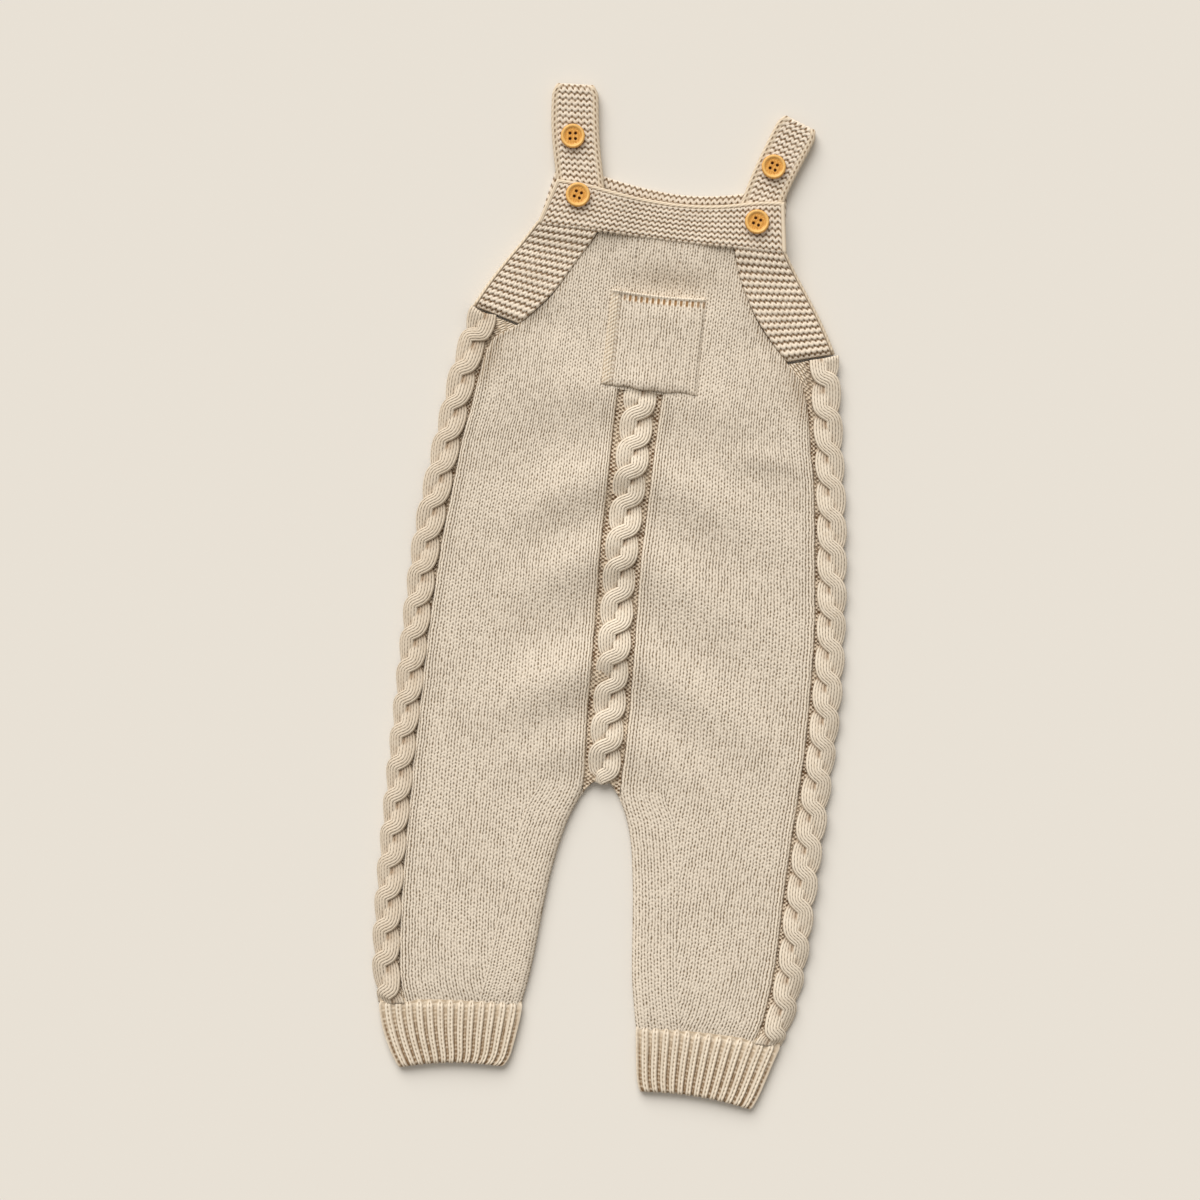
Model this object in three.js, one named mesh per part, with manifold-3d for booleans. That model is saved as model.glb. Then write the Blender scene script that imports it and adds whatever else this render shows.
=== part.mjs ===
// A baby's knitted dungarees, laid flat and face up on a surface, in millimetres.
// X runs across the garment (left and right as seen from the front), Y from the
// hems to the shoulder straps and Z up from the surface it lies on.
// It is drafted with X = 0 and Y = 0 at the crotch, and moved at the end so that
// the origin is the middle of its footprint, on the surface.
import * as THREE from "three";
import { mergeVertices } from "three/addons/utils/BufferGeometryUtils.js";
import Module from "manifold-3d";

const wasm = await Module();
wasm.setup();

// ---- Driving dimensions ----
const SEAM = 0.3; // gap left between pieces that are knitted or sewn together
const JERSEY = 2.0; // thickness of the plain knitted panels
const GARTER = 2.8; // thickness of the garter-stitch bands and straps
const RIB = 2.2; // wall of the ribbed cuffs
const FRONT_REST = 4.7; // height of the front panel's upper face where nothing lifts it
const MEET = 2.35; // height at which front and back meet at an inseam
const ROLL = 5; // how far the rounding of an inseam reaches into a panel
const LIP = 0.6; // thickness of a panel's rounded edge at the inseam
const PUFF = 1.0; // how far the front stands up in the middle of a leg
const DITCH = 2.6; // width of the purl ditch beside a cable
const SIDE_PITCH = 17; // length of one crossing of a side cable
const CENTRE_PITCH = 15.7; // length of one crossing of the centre cable
const CABLE_TOP = 202.6; // where the centre cable runs under the pocket
const BIB_FROM = 283; // height of the bib band's lower edge
const CROTCH_LOW = -7; // where the inseams' curves reach the centre cable's panel
const CROTCH_ARCH = 7.5; // how far the crotch arches up between them
const BACK_TURN = 8; // how far a side cable's panel reaches round under the garment
const BUTTON_DIAMETER = 12.7;
const BUTTON_THICK = 2.8;

// ---- Tables, one row for each section, from the hem up ----
// y, edge: where a panel meets its side cable's ditch; the armhole bands' table takes
// over above that. inner_y, inner: the inseam, and above the crotch the centre panel.
const PANEL_COLUMNS = ["y", "edge", "inner_y", "inner"];
const PANELS = {
  left: [
    [-127.3, 89.0, -120.4, 27.5],
    [-106, 93.2, -101, 24.6],
    [-80, 95.8, -78, 23.0],
    [-54, 97.3, -53, 21.0],
    [-32, 98.0, -32, 17.8],
    [-20, 98.3, -20, 14.8],
    [-11, 98.6, -12, 11.2],
    [-7, 98.7, -7, 9.2],
    [4, 99.0, 4, 9.3],
    [30, 99.1, 30, 11.4],
    [62, 99.4, 62, 12.6],
    [93, 98.6, 93, 13.8],
    [115, 98.0, 115, 15.3],
    [146, 95.6, 146, 15.5],
    [177, 93.1, 177, 16.2],
    [203, 90.2, 203, 16.4],
    [218, 87.4, 218, 16.2],
    [226, 81.5, 226, 16.1],
    [231, 71.6, 231, 16.0],
    [283, 36.4, 283, 15.6],
  ],
  right: [
    [-126, 96.6, -125.5, 33.2],
    [-102, 100.1, -101, 28.0],
    [-80, 101.4, -80, 25.7],
    [-54, 101.3, -54, 22.8],
    [-32, 101.4, -32, 19.4],
    [-20, 101.8, -20, 16.3],
    [-11, 102.0, -12, 12.2],
    [-7, 102.1, -7, 9.8],
    [4, 102.5, 4, 9.9],
    [30, 103.0, 30, 9.8],
    [62, 102.0, 62, 8.6],
    [93, 100.3, 93, 7.0],
    [115, 97.6, 115, 5.9],
    [146, 93.8, 146, 6.1],
    [177, 89.0, 177, 6.0],
    [203, 84.4, 203, 6.8],
    [215, 80.4, 215, 7.0],
    [223, 75.8, 223, 7.1],
    [228.2, 68.6, 228.2, 7.2],
    [283, 34.2, 283, 7.6],
  ],
};
// side_y, side: the outer silhouette. edge_y: the height on the panel's edge that
// belongs to it.
const SIDE_COLUMNS = ["side_y", "side", "edge_y"];
const SIDES = {
  left: [
    [-128.7, 101.6, -127.3],
    [-106, 105.8, -106],
    [-80, 107.5, -80],
    [-40, 109.0, -40],
    [0, 109.8, 0],
    [60, 111.2, 60],
    [112, 112.3, 112],
    [145, 109.9, 145],
    [177, 105.9, 177],
    [203, 103.1, 202],
    [220, 100.0, 217],
    [236.4, 97.2, 229.8],
  ],
  right: [
    [-126, 109.5, -126],
    [-102, 113.9, -102],
    [-80, 116.0, -80],
    [-40, 116.5, -40],
    [0, 117.0, 0],
    [56, 117.1, 56],
    [98, 114.2, 98],
    [140, 109.6, 140],
    [180, 103.2, 178],
    [202, 99.4, 198],
    [218, 97.0, 212],
    [234.2, 93.8, 226.8],
  ],
};
// The centre cable's middle line and half its panel's width.
const CENTRE_COLUMNS = ["y", "middle", "half"];
const CENTRE = [
  [-7, 0.3, 9.2],
  [4, 0.3, 9.3],
  [30, -0.8, 10.3],
  [62, -2.0, 10.3],
  [93, -3.4, 10.1],
  [115, -4.7, 10.3],
  [146, -4.7, 10.5],
  [177, -5.1, 10.8],
  [203, -4.8, 11.3],
  [283, -4.0, 11.3],
];
// Armhole bands, from the side up: the outer, open edge and the edge on the panel.
const BAND_COLUMNS = ["outer_y", "outer", "edge_y", "edge"];
const BANDS = {
  left: [
    [237.4, 96.8, 231, 71.6],
    [250, 90.6, 246, 57.6],
    [262, 83.2, 259, 50.2],
    [274, 75.3, 272, 42.9],
    [283, 68.8, 283, 36.4],
  ],
  right: [
    [235.2, 93.2, 228.2, 68.6],
    [249, 85.6, 244, 53.3],
    [262, 76.6, 258, 44.4],
    [273.5, 68.4, 271, 38.3],
    [283, 61.2, 283, 34.2],
  ],
};
// The bib band across the top of the front, and the back's neck band under it.
const BAR_COLUMNS = ["x_low", "y_low", "x_high", "y_high"];
const BIB_BAND = [
  [-68.8, 283.3, -61.3, 307.3],
  [-52, 283.4, -47, 307.2],
  [-30, 283.4, -28, 304.2],
  [0, 283.3, 0, 302.6],
  [28, 283.3, 26, 304.4],
  [48, 283.6, 44, 308.6],
  [61.6, 283.8, 57.4, 309.8],
];
const BACK_BAND = [
  [-68.5, 283.3, -62.5, 313.0],
  [-50, 283.3, -49, 315.5],
  [-32, 283.3, -32, 311.3],
  [0, 283.3, 0, 307.6],
  [26, 283.3, 25, 309.8],
  [46, 283.3, 45, 314.5],
  [60.5, 283.3, 58.5, 313.5],
];
// Straps, from behind the bib up to the shoulder fold: the edges on the neck's side
// and on the arm's side.
const STRAP_COLUMNS = ["neck_y", "neck", "arm_y", "arm"];
const STRAPS = {
  left: [
    [288, 33.6, 288, 57.0],
    [307, 36.2, 307.3, 61.4],
    [325.5, 41.0, 327.5, 66.4],
    [341, 43.5, 342, 68.6],
    [357.5, 45.6, 355.3, 69.5],
  ],
  right: [
    [288, 32.4, 288, 53.6],
    [307, 35.0, 309, 56.8],
    [325, 39.5, 322, 61.0],
    [341, 44.9, 333.5, 65.3],
    [354.6, 49.8, 347.0, 70.6],
  ],
};
const STRAP_BACK_FROM = { left: 316, right: 315 }; // where the neck band ends under a strap
// Cuffs, from the leg down: outer and inner silhouettes.
const CUFF_COLUMNS = ["outer_y", "outer", "inner_y", "inner"];
const CUFFS = {
  left: [
    [-129.4, 101.2, -121.0, 27.4],
    [-138, 99.0, -128, 27.4],
    [-148, 95.0, -140, 29.0],
    [-160.2, 87.2, -153.4, 31.4],
  ],
  right: [
    [-126.4, 109.4, -126.0, 33.3],
    [-138, 105.4, -136, 34.8],
    [-148, 102.4, -147, 36.4],
    [-159.8, 98.2, -157.6, 38.8],
  ],
};
// Soft folds that fall away from the centre cable on both sides, as ridges.
const FOLD_COLUMNS = ["y", "height", "spread", "reach", "fall"];
const FOLDS = [
  [151, 1.7, 10, 52, 0.55],
  [110, 1.3, 10, 48, 0.55],
  [60, 1.9, 12, 56, 0.55],
  [18, 0.9, 9, 40, 0.4],
];
const STRAP_LIFT = { height: 3.2, x: { left: -47, right: 43 }, spread: 17, y: 300, fade: 20 };
const POCKET = { low: [-25.6, 204.4, 24.4, 204.6], high: [-26.4, 254.6, 23.2, 255.6], bulge: 1.3 };
const BUTTONS = {
  left_upper: [-55.8, 330.5],
  left_lower: [-49.4, 300.2],
  right_upper: [49.6, 327.4],
  right_lower: [44.4, 297.6],
};

// ---- Small helpers ----
const SIGN = { left: -1, right: 1 };
const column = (columns, name) => columns.indexOf(name);
const clamp01 = (t) => Math.min(1, Math.max(0, t));
const smooth = (t) => clamp01(t) ** 2 * (3 - 2 * clamp01(t));
const bell = (t) => Math.exp(-t * t);
const steps = (n) => Array.from({ length: n + 1 }, (_, i) => i / n);

// A smooth curve through a table's column, at a row number that need not be whole.
function along(table, columns, name, row) {
  const c = column(columns, name);
  const i = Math.min(table.length - 2, Math.max(0, Math.floor(row)));
  const t = row - i;
  const at = (k) => table[Math.min(table.length - 1, Math.max(0, k))][c];
  const [p0, p1, p2, p3] = [at(i - 1), at(i), at(i + 1), at(i + 2)];
  const m1 = (p2 - p0) / 2;
  const m2 = (p3 - p1) / 2;
  return (
    p1 * (2 * t ** 3 - 3 * t ** 2 + 1) +
    m1 * (t ** 3 - 2 * t ** 2 + t) +
    p2 * (3 * t ** 2 - 2 * t ** 3) +
    m2 * (t ** 3 - t ** 2)
  );
}

// The row number at which the curve through a column, which only rises, has a value.
const HALVINGS = 30;
function rowAt(table, columns, name, value) {
  let low = 0;
  let high = table.length - 1;
  for (let i = 0; i < HALVINGS; i++) {
    const mid = (low + high) / 2;
    if (along(table, columns, name, mid) < value) low = mid;
    else high = mid;
  }
  return (low + high) / 2;
}

const valueAt = (table, columns, name, key, value) =>
  along(table, columns, name, rowAt(table, columns, key, value));

// A closed wall between two grids of points, outer[row][column] and inner[row][column].
// On a ring the last column joins the first.
function wall(outer, inner, ring = false) {
  const rows = outer.length;
  const across = outer[0].length;
  const points = [...outer.flat(), ...inner.flat()];
  const id = (side, r, c) => side * rows * across + r * across + (c % across);
  const faces = [];
  const quad = (a, b, c, d) => faces.push(a, b, c, a, c, d);
  const lastColumn = ring ? across : across - 1;
  for (let r = 0; r < rows - 1; r++) {
    for (let c = 0; c < lastColumn; c++) {
      quad(id(0, r, c), id(0, r, c + 1), id(0, r + 1, c + 1), id(0, r + 1, c));
      quad(id(1, r, c), id(1, r + 1, c), id(1, r + 1, c + 1), id(1, r, c + 1));
    }
  }
  for (let c = 0; c < lastColumn; c++) {
    quad(id(0, 0, c), id(1, 0, c), id(1, 0, c + 1), id(0, 0, c + 1));
    const top = rows - 1;
    quad(id(0, top, c), id(0, top, c + 1), id(1, top, c + 1), id(1, top, c));
  }
  for (let r = 0; r < rows - 1 && !ring; r++) {
    quad(id(0, r, 0), id(0, r + 1, 0), id(1, r + 1, 0), id(1, r, 0));
    const end = across - 1;
    quad(id(0, r, end), id(1, r, end), id(1, r + 1, end), id(0, r + 1, end));
  }
  const geometry = new THREE.BufferGeometry().setFromPoints(points);
  geometry.setIndex(faces);
  return facingOut(geometry);
}

// Six times the volume that an indexed mesh encloses, and the mesh turned round where
// that is negative.
function facingOut(geometry) {
  const position = geometry.attributes.position;
  const faces = geometry.index.array;
  const [a, b, c] = [new THREE.Vector3(), new THREE.Vector3(), new THREE.Vector3()];
  let six = 0;
  for (let i = 0; i < faces.length; i += 3) {
    a.fromBufferAttribute(position, faces[i]);
    b.fromBufferAttribute(position, faces[i + 1]);
    c.fromBufferAttribute(position, faces[i + 2]);
    six += a.dot(b.cross(c));
  }
  if (six < 0) {
    const turned = Array.from(faces);
    for (let i = 0; i < turned.length; i += 3) {
      [turned[i + 1], turned[i + 2]] = [turned[i + 2], turned[i + 1]];
    }
    geometry.setIndex(turned);
  }
  return geometry;
}

// A row of points set to new heights.
const atHeights = (row, heightOf) => row.map((p, i) => p.clone().setZ(heightOf(p, i)));

// ---- The shape of the front's upper face ----
const middleAt = (y) => valueAt(CENTRE, CENTRE_COLUMNS, "middle", "y", y);

// Height of the front at a place: rest height, a low puff over each leg, the soft
// folds beside the centre cable and the lift over the ends of the straps.
function frontTop(x, y) {
  const out = Math.abs(x - middleAt(Math.min(BIB_FROM, Math.max(CROTCH_LOW, y))));
  let z = FRONT_REST;
  const share = clamp01((out - 8) / 90);
  z += PUFF * Math.sin(Math.PI * share) ** 0.7 * (1 - 0.7 * smooth((y - 190) / 60));
  for (const fold of FOLDS) {
    const [foldY, height, spread, reach, fall] = fold;
    z += height * bell((y - foldY + fall * out) / spread) * bell(out / reach);
  }
  for (const side of ["left", "right"]) {
    const down = clamp01((STRAP_LIFT.y - y - 8) / STRAP_LIFT.fade);
    const sideways = bell((x - STRAP_LIFT.x[side]) / STRAP_LIFT.spread);
    z += STRAP_LIFT.height * sideways * (1 - smooth(down));
  }
  return z;
}

// ---- Panels ----
const PANEL_ACROSS = [0, 0.08, 0.28, 0.52, 0.76, 0.93, 0.98, 1];
const TORSO_ROW = 7; // the table row at the crotch, above which nothing rolls over
const CROTCH_HEIGHTS = [-20, -12, -7, -4, -1.5, 0, 0.8];
const ARMPIT_BEND = 205; // above this a panel's edge bends quickly in to the armhole
const BEND_STEP = 3; // length of a row of the mesh along that bend

// How far below its plateau the rounded edge of a panel is, as a share of the drop.
const roll = (distance) => 1 - Math.sqrt(1 - (1 - clamp01(distance / ROLL)) ** 2);

// Heights on the edge for the rows of a mesh: even up to the armpit and close together
// round the bend, short of the band.
function heightsToBand(side, below) {
  const bandFrom = BANDS[side][0][column(BAND_COLUMNS, "edge_y")];
  const low = PANELS[side][0][0];
  const even = steps(below).map((s) => low + s * (ARMPIT_BEND - low));
  const bends = Math.round((bandFrom - ARMPIT_BEND) / BEND_STEP);
  const bend = steps(bends).map((s) => ARMPIT_BEND + s * (bandFrom - ARMPIT_BEND));
  return [...even, ...bend.slice(1, -1)];
}

// The same with its rows near the crotch replaced by closer ones.
function withCrotch(heights) {
  const [low, high] = [CROTCH_HEIGHTS[0] - 5, CROTCH_HEIGHTS.at(-1) + 3];
  const rest = heights.filter((y) => y < low || y > high);
  return [...rest, ...CROTCH_HEIGHTS].sort((a, b) => a - b);
}

// A panel goes on beside the band, with two rows for each row of the band's table.
function panelHeights(side, below) {
  const band = BANDS[side];
  const bandRows = steps((band.length - 1) * 2).map((s) =>
    along(band, BAND_COLUMNS, "edge_y", s * (band.length - 1)),
  );
  return [...withCrotch(heightsToBand(side, below)), ...bandRows];
}

// A panel's edge beside its side cable, or above the armpit beside its armhole band.
function edgeAt(side, y) {
  const band = BANDS[side];
  return y > band[0][column(BAND_COLUMNS, "edge_y")]
    ? valueAt(band, BAND_COLUMNS, "edge", "edge_y", y)
    : valueAt(PANELS[side], PANEL_COLUMNS, "edge", "y", y);
}

// How far inside that edge the front panel stops, so that the ditch is the side's.
function ditchMargin(side, y) {
  const bandFrom = BANDS[side][0][column(BAND_COLUMNS, "edge_y")];
  return (DITCH / 2) * smooth((bandFrom - y) / (2 * BEND_STEP));
}

// The ends of one row of a panel, from its outer edge, drawn in by a margin, to its
// inner edge, which keeps half a seam to the middle.
function panelRow(side, y, margin) {
  const row = rowAt(PANELS[side], PANEL_COLUMNS, "y", y);
  const get = (name) => along(PANELS[side], PANEL_COLUMNS, name, row);
  const sign = SIGN[side];
  const start = new THREE.Vector3(sign * (edgeAt(side, y) - margin), y, 0);
  const end = new THREE.Vector3(sign * (get("inner") + SEAM / 2), get("inner_y"), 0);
  return { start, end, rolled: 1 - smooth(row - (TORSO_ROW - 1)) };
}

function rowPoints({ start, end }, shares, heightAt) {
  const length = start.distanceTo(end);
  return shares.map((share) => {
    const p = start.clone().lerp(end, share);
    return p.setZ(heightAt(p, length * (1 - share)));
  });
}

function frontPanel(side) {
  const outer = [];
  const inner = [];
  for (const y of panelHeights(side, 22)) {
    const plan = panelRow(side, y, ditchMargin(side, y));
    const points = rowPoints(plan, PANEL_ACROSS, (p, toInner) => {
      const top = frontTop(p.x, p.y);
      return top - plan.rolled * roll(toInner) * (top - MEET - SEAM / 2 - LIP);
    });
    outer.push(points);
    inner.push(atHeights(points, (p) => Math.max(p.z - JERSEY, MEET + SEAM / 2)));
  }
  return wall(outer, inner);
}

// The back lies flat on the surface, and rounds up to meet the front at the inseam. It
// reaches out past the front's edge to the turn of the side panel.
const BACK_ACROSS = [0, 0.5, 0.92, 0.98, 1];

function backPanel(side) {
  const outer = [];
  const inner = [];
  for (const y of panelHeights(side, 14)) {
    const plan = panelRow(side, y, SEAM);
    const silhouette = valueAt(SIDES[side], SIDE_COLUMNS, "side", "edge_y", y);
    const sideways = Math.abs(plan.start.x);
    const under = Math.min(silhouette - BACK_TURN - SEAM, sideways + 3);
    const belowBand = 1 - smooth((y - ARMPIT_BEND) / 20);
    plan.start.x = SIGN[side] * (sideways + (under - sideways) * belowBand);
    const up = (y - CROTCH_LOW) / CROTCH_ARCH;
    const arched = up < 0 ? 1 : Math.sqrt(1 - clamp01(up));
    plan.end.x = plan.end.x * arched + SIGN[side] * (SEAM / 2) * (1 - arched);
    const points = rowPoints(plan, BACK_ACROSS, (p, toInner) =>
      plan.rolled * roll(toInner) * (MEET - SEAM / 2 - LIP),
    );
    outer.push(points);
    inner.push(atHeights(points, (p) => Math.min(p.z + JERSEY, MEET - SEAM / 2)));
  }
  return wall(outer, inner);
}

// The panel with the centre cable: a purl ditch on each side of a rounded rope, which
// is widest between its crossings. Above the rope it is plain, up to the bib band.
const CENTRE_ACROSS = [-1, -0.88, -0.76, -0.45, 0, 0.45, 0.76, 0.88, 1];
const ROPE_PROFILE = [0, -1.1, 0.2, 2.7, 3.3, 2.7, 0.2, -1.1, 0];

function centrePanel() {
  const outer = [];
  const inner = [];
  const ropeRows = Math.round((CABLE_TOP / CENTRE_PITCH) * 2);
  const heights = steps(ropeRows).map((s) => s * CABLE_TOP);
  const plainHeights = steps(5).map((s) => CABLE_TOP + 1 + s * (BIB_FROM - CABLE_TOP - 1));
  for (const y of [CROTCH_LOW + SEAM, ...heights, ...plainHeights]) {
    const middle = middleAt(y);
    const half = valueAt(CENTRE, CENTRE_COLUMNS, "half", "y", y) - SEAM / 2;
    const rope = y <= CABLE_TOP && y >= 0 ? 1 : 0;
    const crossing = Math.cos((2 * Math.PI * y) / CENTRE_PITCH);
    const points = CENTRE_ACROSS.map((share, i) => {
      const waist = Math.abs(share) === 0.76 ? 1 - 0.05 * rope * crossing : 1;
      const x = middle + half * share * waist;
      const lift = ROPE_PROFILE[i] > 0 ? 1 - 0.1 * crossing : 1;
      // The lowest edge hangs in an arch over the crotch.
      const arch = y < 0 ? CROTCH_ARCH * (1 - share * share) : 0;
      return new THREE.Vector3(x, y + arch, frontTop(x, y) + rope * ROPE_PROFILE[i] * lift);
    });
    outer.push(points);
    inner.push(
      points.map((p) => {
        return p.clone().setZ(Math.max(JERSEY + SEAM, frontTop(p.x, y) - JERSEY));
      }),
    );
  }
  return wall(outer, inner);
}

// The panel with a side cable wraps round the side from the front's edge to the back's.
// Over the top, distances in from the silhouette are shares of the width and heights
// are above the front's edge; inside, heights are above the surface. Round the turn all
// are millimetres.
// Columns: share, height above the edge, inside share, inside height.
const WRAP = [
  [1.0, 0.0, 1.0, 2.7],
  [0.9, -1.2, 0.9, 2.5],
  [0.79, 0.2, 0.79, 2.7],
  [0.52, 2.9, 0.6, 3.1],
  [0.22, 2.1, 0.38, 3.1],
];
// Columns: distance, height, inside distance, inside height.
const TURN = [
  [0, 3.6, 3.0, 2.6],
  [0.8, 1.3, 3.2, 2.2],
  [3.4, 0, 4.4, 2.0],
  [BACK_TURN, 0, BACK_TURN, 2.0],
];

function sidePanel(side) {
  const outer = [];
  const inner = [];
  const sign = SIGN[side];
  const table = SIDES[side];
  const low = table[0][0];
  const rows = Math.round(((ARMPIT_BEND - low) / SIDE_PITCH) * 2);
  const last = table.at(-1)[column(SIDE_COLUMNS, "edge_y")];
  for (const edgeY of [...heightsToBand(side, rows), last]) {
    const row = rowAt(table, SIDE_COLUMNS, "edge_y", edgeY);
    const get = (name) => along(table, SIDE_COLUMNS, name, row);
    const seamX = edgeAt(side, edgeY) - ditchMargin(side, edgeY) + 2 * SEAM;
    const seam = new THREE.Vector3(sign * seamX, edgeY, 0);
    const swell = 0.3 * Math.cos((2 * Math.PI * (edgeY - low)) / SIDE_PITCH);
    const rim = new THREE.Vector3(sign * (get("side") + swell), get("side_y"), 0);
    const topWidth = rim.distanceTo(seam);
    const inward = seam.clone().sub(rim).normalize();
    const seamTop = frontTop(seam.x, edgeY);
    const place = (distance, z) => rim.clone().addScaledVector(inward, distance).setZ(z);
    outer.push([
      ...WRAP.map(([at, top]) => place(at * topWidth, seamTop + top * (1 + swell / 4))),
      ...TURN.map(([at, z]) => place(at, z)),
    ]);
    inner.push([
      ...WRAP.map(([, , at, z]) => place(at * topWidth, z)),
      ...TURN.map(([, , at, z]) => place(at, z)),
    ]);
  }
  return wall(outer, inner);
}

// ---- Bands ----
const bandAcross = steps(4);

// A garter band of an armhole, front or back, from the bib down to the side.
function armholeBand(side, heightAt) {
  const table = BANDS[side];
  const sign = SIGN[side];
  const outer = [];
  const inner = [];
  for (const share of steps(8)) {
    const row = share * (table.length - 1);
    const get = (name) => along(table, BAND_COLUMNS, name, row);
    const start = new THREE.Vector3(sign * get("outer"), get("outer_y"), 0);
    const end = new THREE.Vector3(sign * (get("edge") + SEAM), get("edge_y"), 0);
    const points = bandAcross.map((s) => start.clone().lerp(end, s));
    outer.push(atHeights(points, heightAt));
    inner.push(atHeights(points, (p) => heightAt(p) - GARTER));
  }
  return wall(outer, inner);
}

// A garter bar across the top of the front or of the back.
function neckBar(table, heightAt) {
  const outer = [];
  const inner = [];
  for (const share of steps((table.length - 1) * 2)) {
    const row = share * (table.length - 1);
    const get = (name) => along(table, BAR_COLUMNS, name, row);
    const low = new THREE.Vector3(get("x_low"), get("y_low") + SEAM, 0);
    const high = new THREE.Vector3(get("x_high"), get("y_high"), 0);
    const points = steps(3).map((s) => low.clone().lerp(high, s));
    outer.push(atHeights(points, heightAt));
    inner.push(atHeights(points, (p) => heightAt(p) - GARTER));
  }
  return wall(outer, inner);
}

// The front bands are thicker than the panel, and stand as far above it as it gives.
const bandTop = (p) => Math.max(GARTER * 2 + SEAM, frontTop(p.x, p.y) + 0.4);

// ---- Straps ----
// A strap rises from the back's neck band, folds over at the shoulder and comes back
// down behind the bib. Its rows follow that path.
function strap(side) {
  const table = STRAPS[side];
  const sign = SIGN[side];
  const last = table.length - 1;
  const turn = GARTER + SEAM / 2; // outer radius of the shoulder fold
  const plan = (row, s) => {
    const get = (name) => along(table, STRAP_COLUMNS, name, row);
    const neck = new THREE.Vector3(sign * get("neck"), get("neck_y"), 0);
    return neck.lerp(new THREE.Vector3(sign * get("arm"), get("arm_y"), 0), s);
  };
  const across = steps(3);
  const outer = [];
  const inner = [];
  const add = (pointAt) => {
    outer.push(across.map((s) => pointAt(s, 0)));
    inner.push(across.map((s) => pointAt(s, GARTER)));
  };
  const firstBack = rowAt(table, STRAP_COLUMNS, "neck_y", STRAP_BACK_FROM[side] + SEAM);
  const straight = last - 0.25; // the strap's rows end where the fold begins
  for (const t of steps(4)) {
    const row = firstBack + t * (straight - firstBack);
    add((s, depth) => plan(row, s).setZ(depth));
  }
  const endAt = (s) => plan(straight, s);
  for (const t of steps(6).slice(1, -1)) {
    const angle = Math.PI * t;
    add((s, depth) => {
      const base = endAt(s);
      const lengthways = plan(last, s).sub(base).normalize();
      const radius = turn - depth;
      return base
        .addScaledVector(lengthways, radius * Math.sin(angle))
        .setZ(turn - radius * Math.cos(angle));
    });
  }
  for (const t of steps(7)) {
    const row = straight * (1 - t);
    add((s, depth) => plan(row, s).setZ(2 * turn - depth));
  }
  return wall(outer, inner);
}

// ---- Cuffs ----
// A ribbed cuff is a flattened tube: a long oval that narrows a little to the hem.
const CUFF_HEIGHT = 5.0;
const CUFF_POINTS = 22;

function cuff(side) {
  const table = CUFFS[side];
  const sign = SIGN[side];
  const outer = [];
  const inner = [];
  for (const share of steps(4)) {
    const row = share * (table.length - 1);
    const get = (name) => along(table, CUFF_COLUMNS, name, row);
    const start = new THREE.Vector3(sign * get("outer"), get("outer_y"), 0);
    const end = new THREE.Vector3(sign * get("inner"), get("inner_y"), 0);
    const run = new THREE.Vector3().subVectors(end, start).normalize();
    const middle = start.clone().lerp(end, 0.5);
    const arch = 1.8 * smooth(share);
    const oval = (inset) =>
      Array.from({ length: CUFF_POINTS }, (_, i) => {
        const angle = (2 * Math.PI * i) / CUFF_POINTS;
        // A square-ended oval: the cosine is widened so that the flats are long.
        const wide = Math.sign(Math.cos(angle)) * Math.abs(Math.cos(angle)) ** 0.75;
        const tall = Math.sign(Math.sin(angle)) * Math.abs(Math.sin(angle)) ** 0.45;
        const half = start.distanceTo(end) / 2 - inset;
        const p = middle.clone().addScaledVector(run, half * wide);
        p.y += arch * (1 - wide * wide);
        return p.setZ(CUFF_HEIGHT / 2 + (CUFF_HEIGHT / 2 - inset) * tall);
      });
    outer.push(oval(0));
    inner.push(oval(RIB));
  }
  return wall(outer, inner, true);
}

// ---- Pocket ----
// A patch that follows the front's face, bowed up a little in the middle and at its
// open upper edge.
function pocket() {
  const [lowLeft, lowY, lowRight, lowRightY] = POCKET.low;
  const [highLeft, highY, highRight, highRightY] = POCKET.high;
  const outer = [];
  const inner = [];
  for (const v of steps(7)) {
    const left = new THREE.Vector3(lowLeft, lowY, 0).lerp(new THREE.Vector3(highLeft, highY, 0), v);
    const right = new THREE.Vector3(lowRight, lowRightY, 0).lerp(
      new THREE.Vector3(highRight, highRightY, 0),
      v,
    );
    const points = steps(8).map((u) => {
      const p = left.clone().lerp(right, u);
      const bow = Math.sin(Math.PI * u) ** 0.8 * Math.sin(Math.PI * Math.min(v, 0.55));
      return p.setZ(frontTop(p.x, p.y) + SEAM + POCKET.bulge * bow);
    });
    inner.push(points);
    outer.push(points.map((p) => p.clone().setZ(p.z + JERSEY)));
  }
  return wall(outer, inner);
}

// ---- Buttons ----
// A turned button: rounded rim, shallow dish and four sewing holes.
const DISH = { radius: 4.5, floor: 1.9, middle: 2.2 };
const SEWING_HOLE = { radius: 0.75, spacing: 2.8, sides: 8 };

function solidOf(geometry) {
  const bare = geometry.index ? geometry.toNonIndexed() : geometry.clone();
  bare.deleteAttribute("normal");
  bare.deleteAttribute("uv");
  const merged = mergeVertices(bare, 1e-4);
  return new wasm.Manifold(
    new wasm.Mesh({
      numProp: 3,
      vertProperties: merged.attributes.position.array,
      triVerts: new Uint32Array(merged.index.array),
    }),
  );
}

function geometryOf(solid) {
  const mesh = solid.getMesh();
  const position = new THREE.BufferAttribute(new Float32Array(mesh.vertProperties), 3);
  const geometry = new THREE.BufferGeometry().setAttribute("position", position);
  return geometry.setIndex(new THREE.BufferAttribute(new Uint32Array(mesh.triVerts), 1));
}

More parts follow.
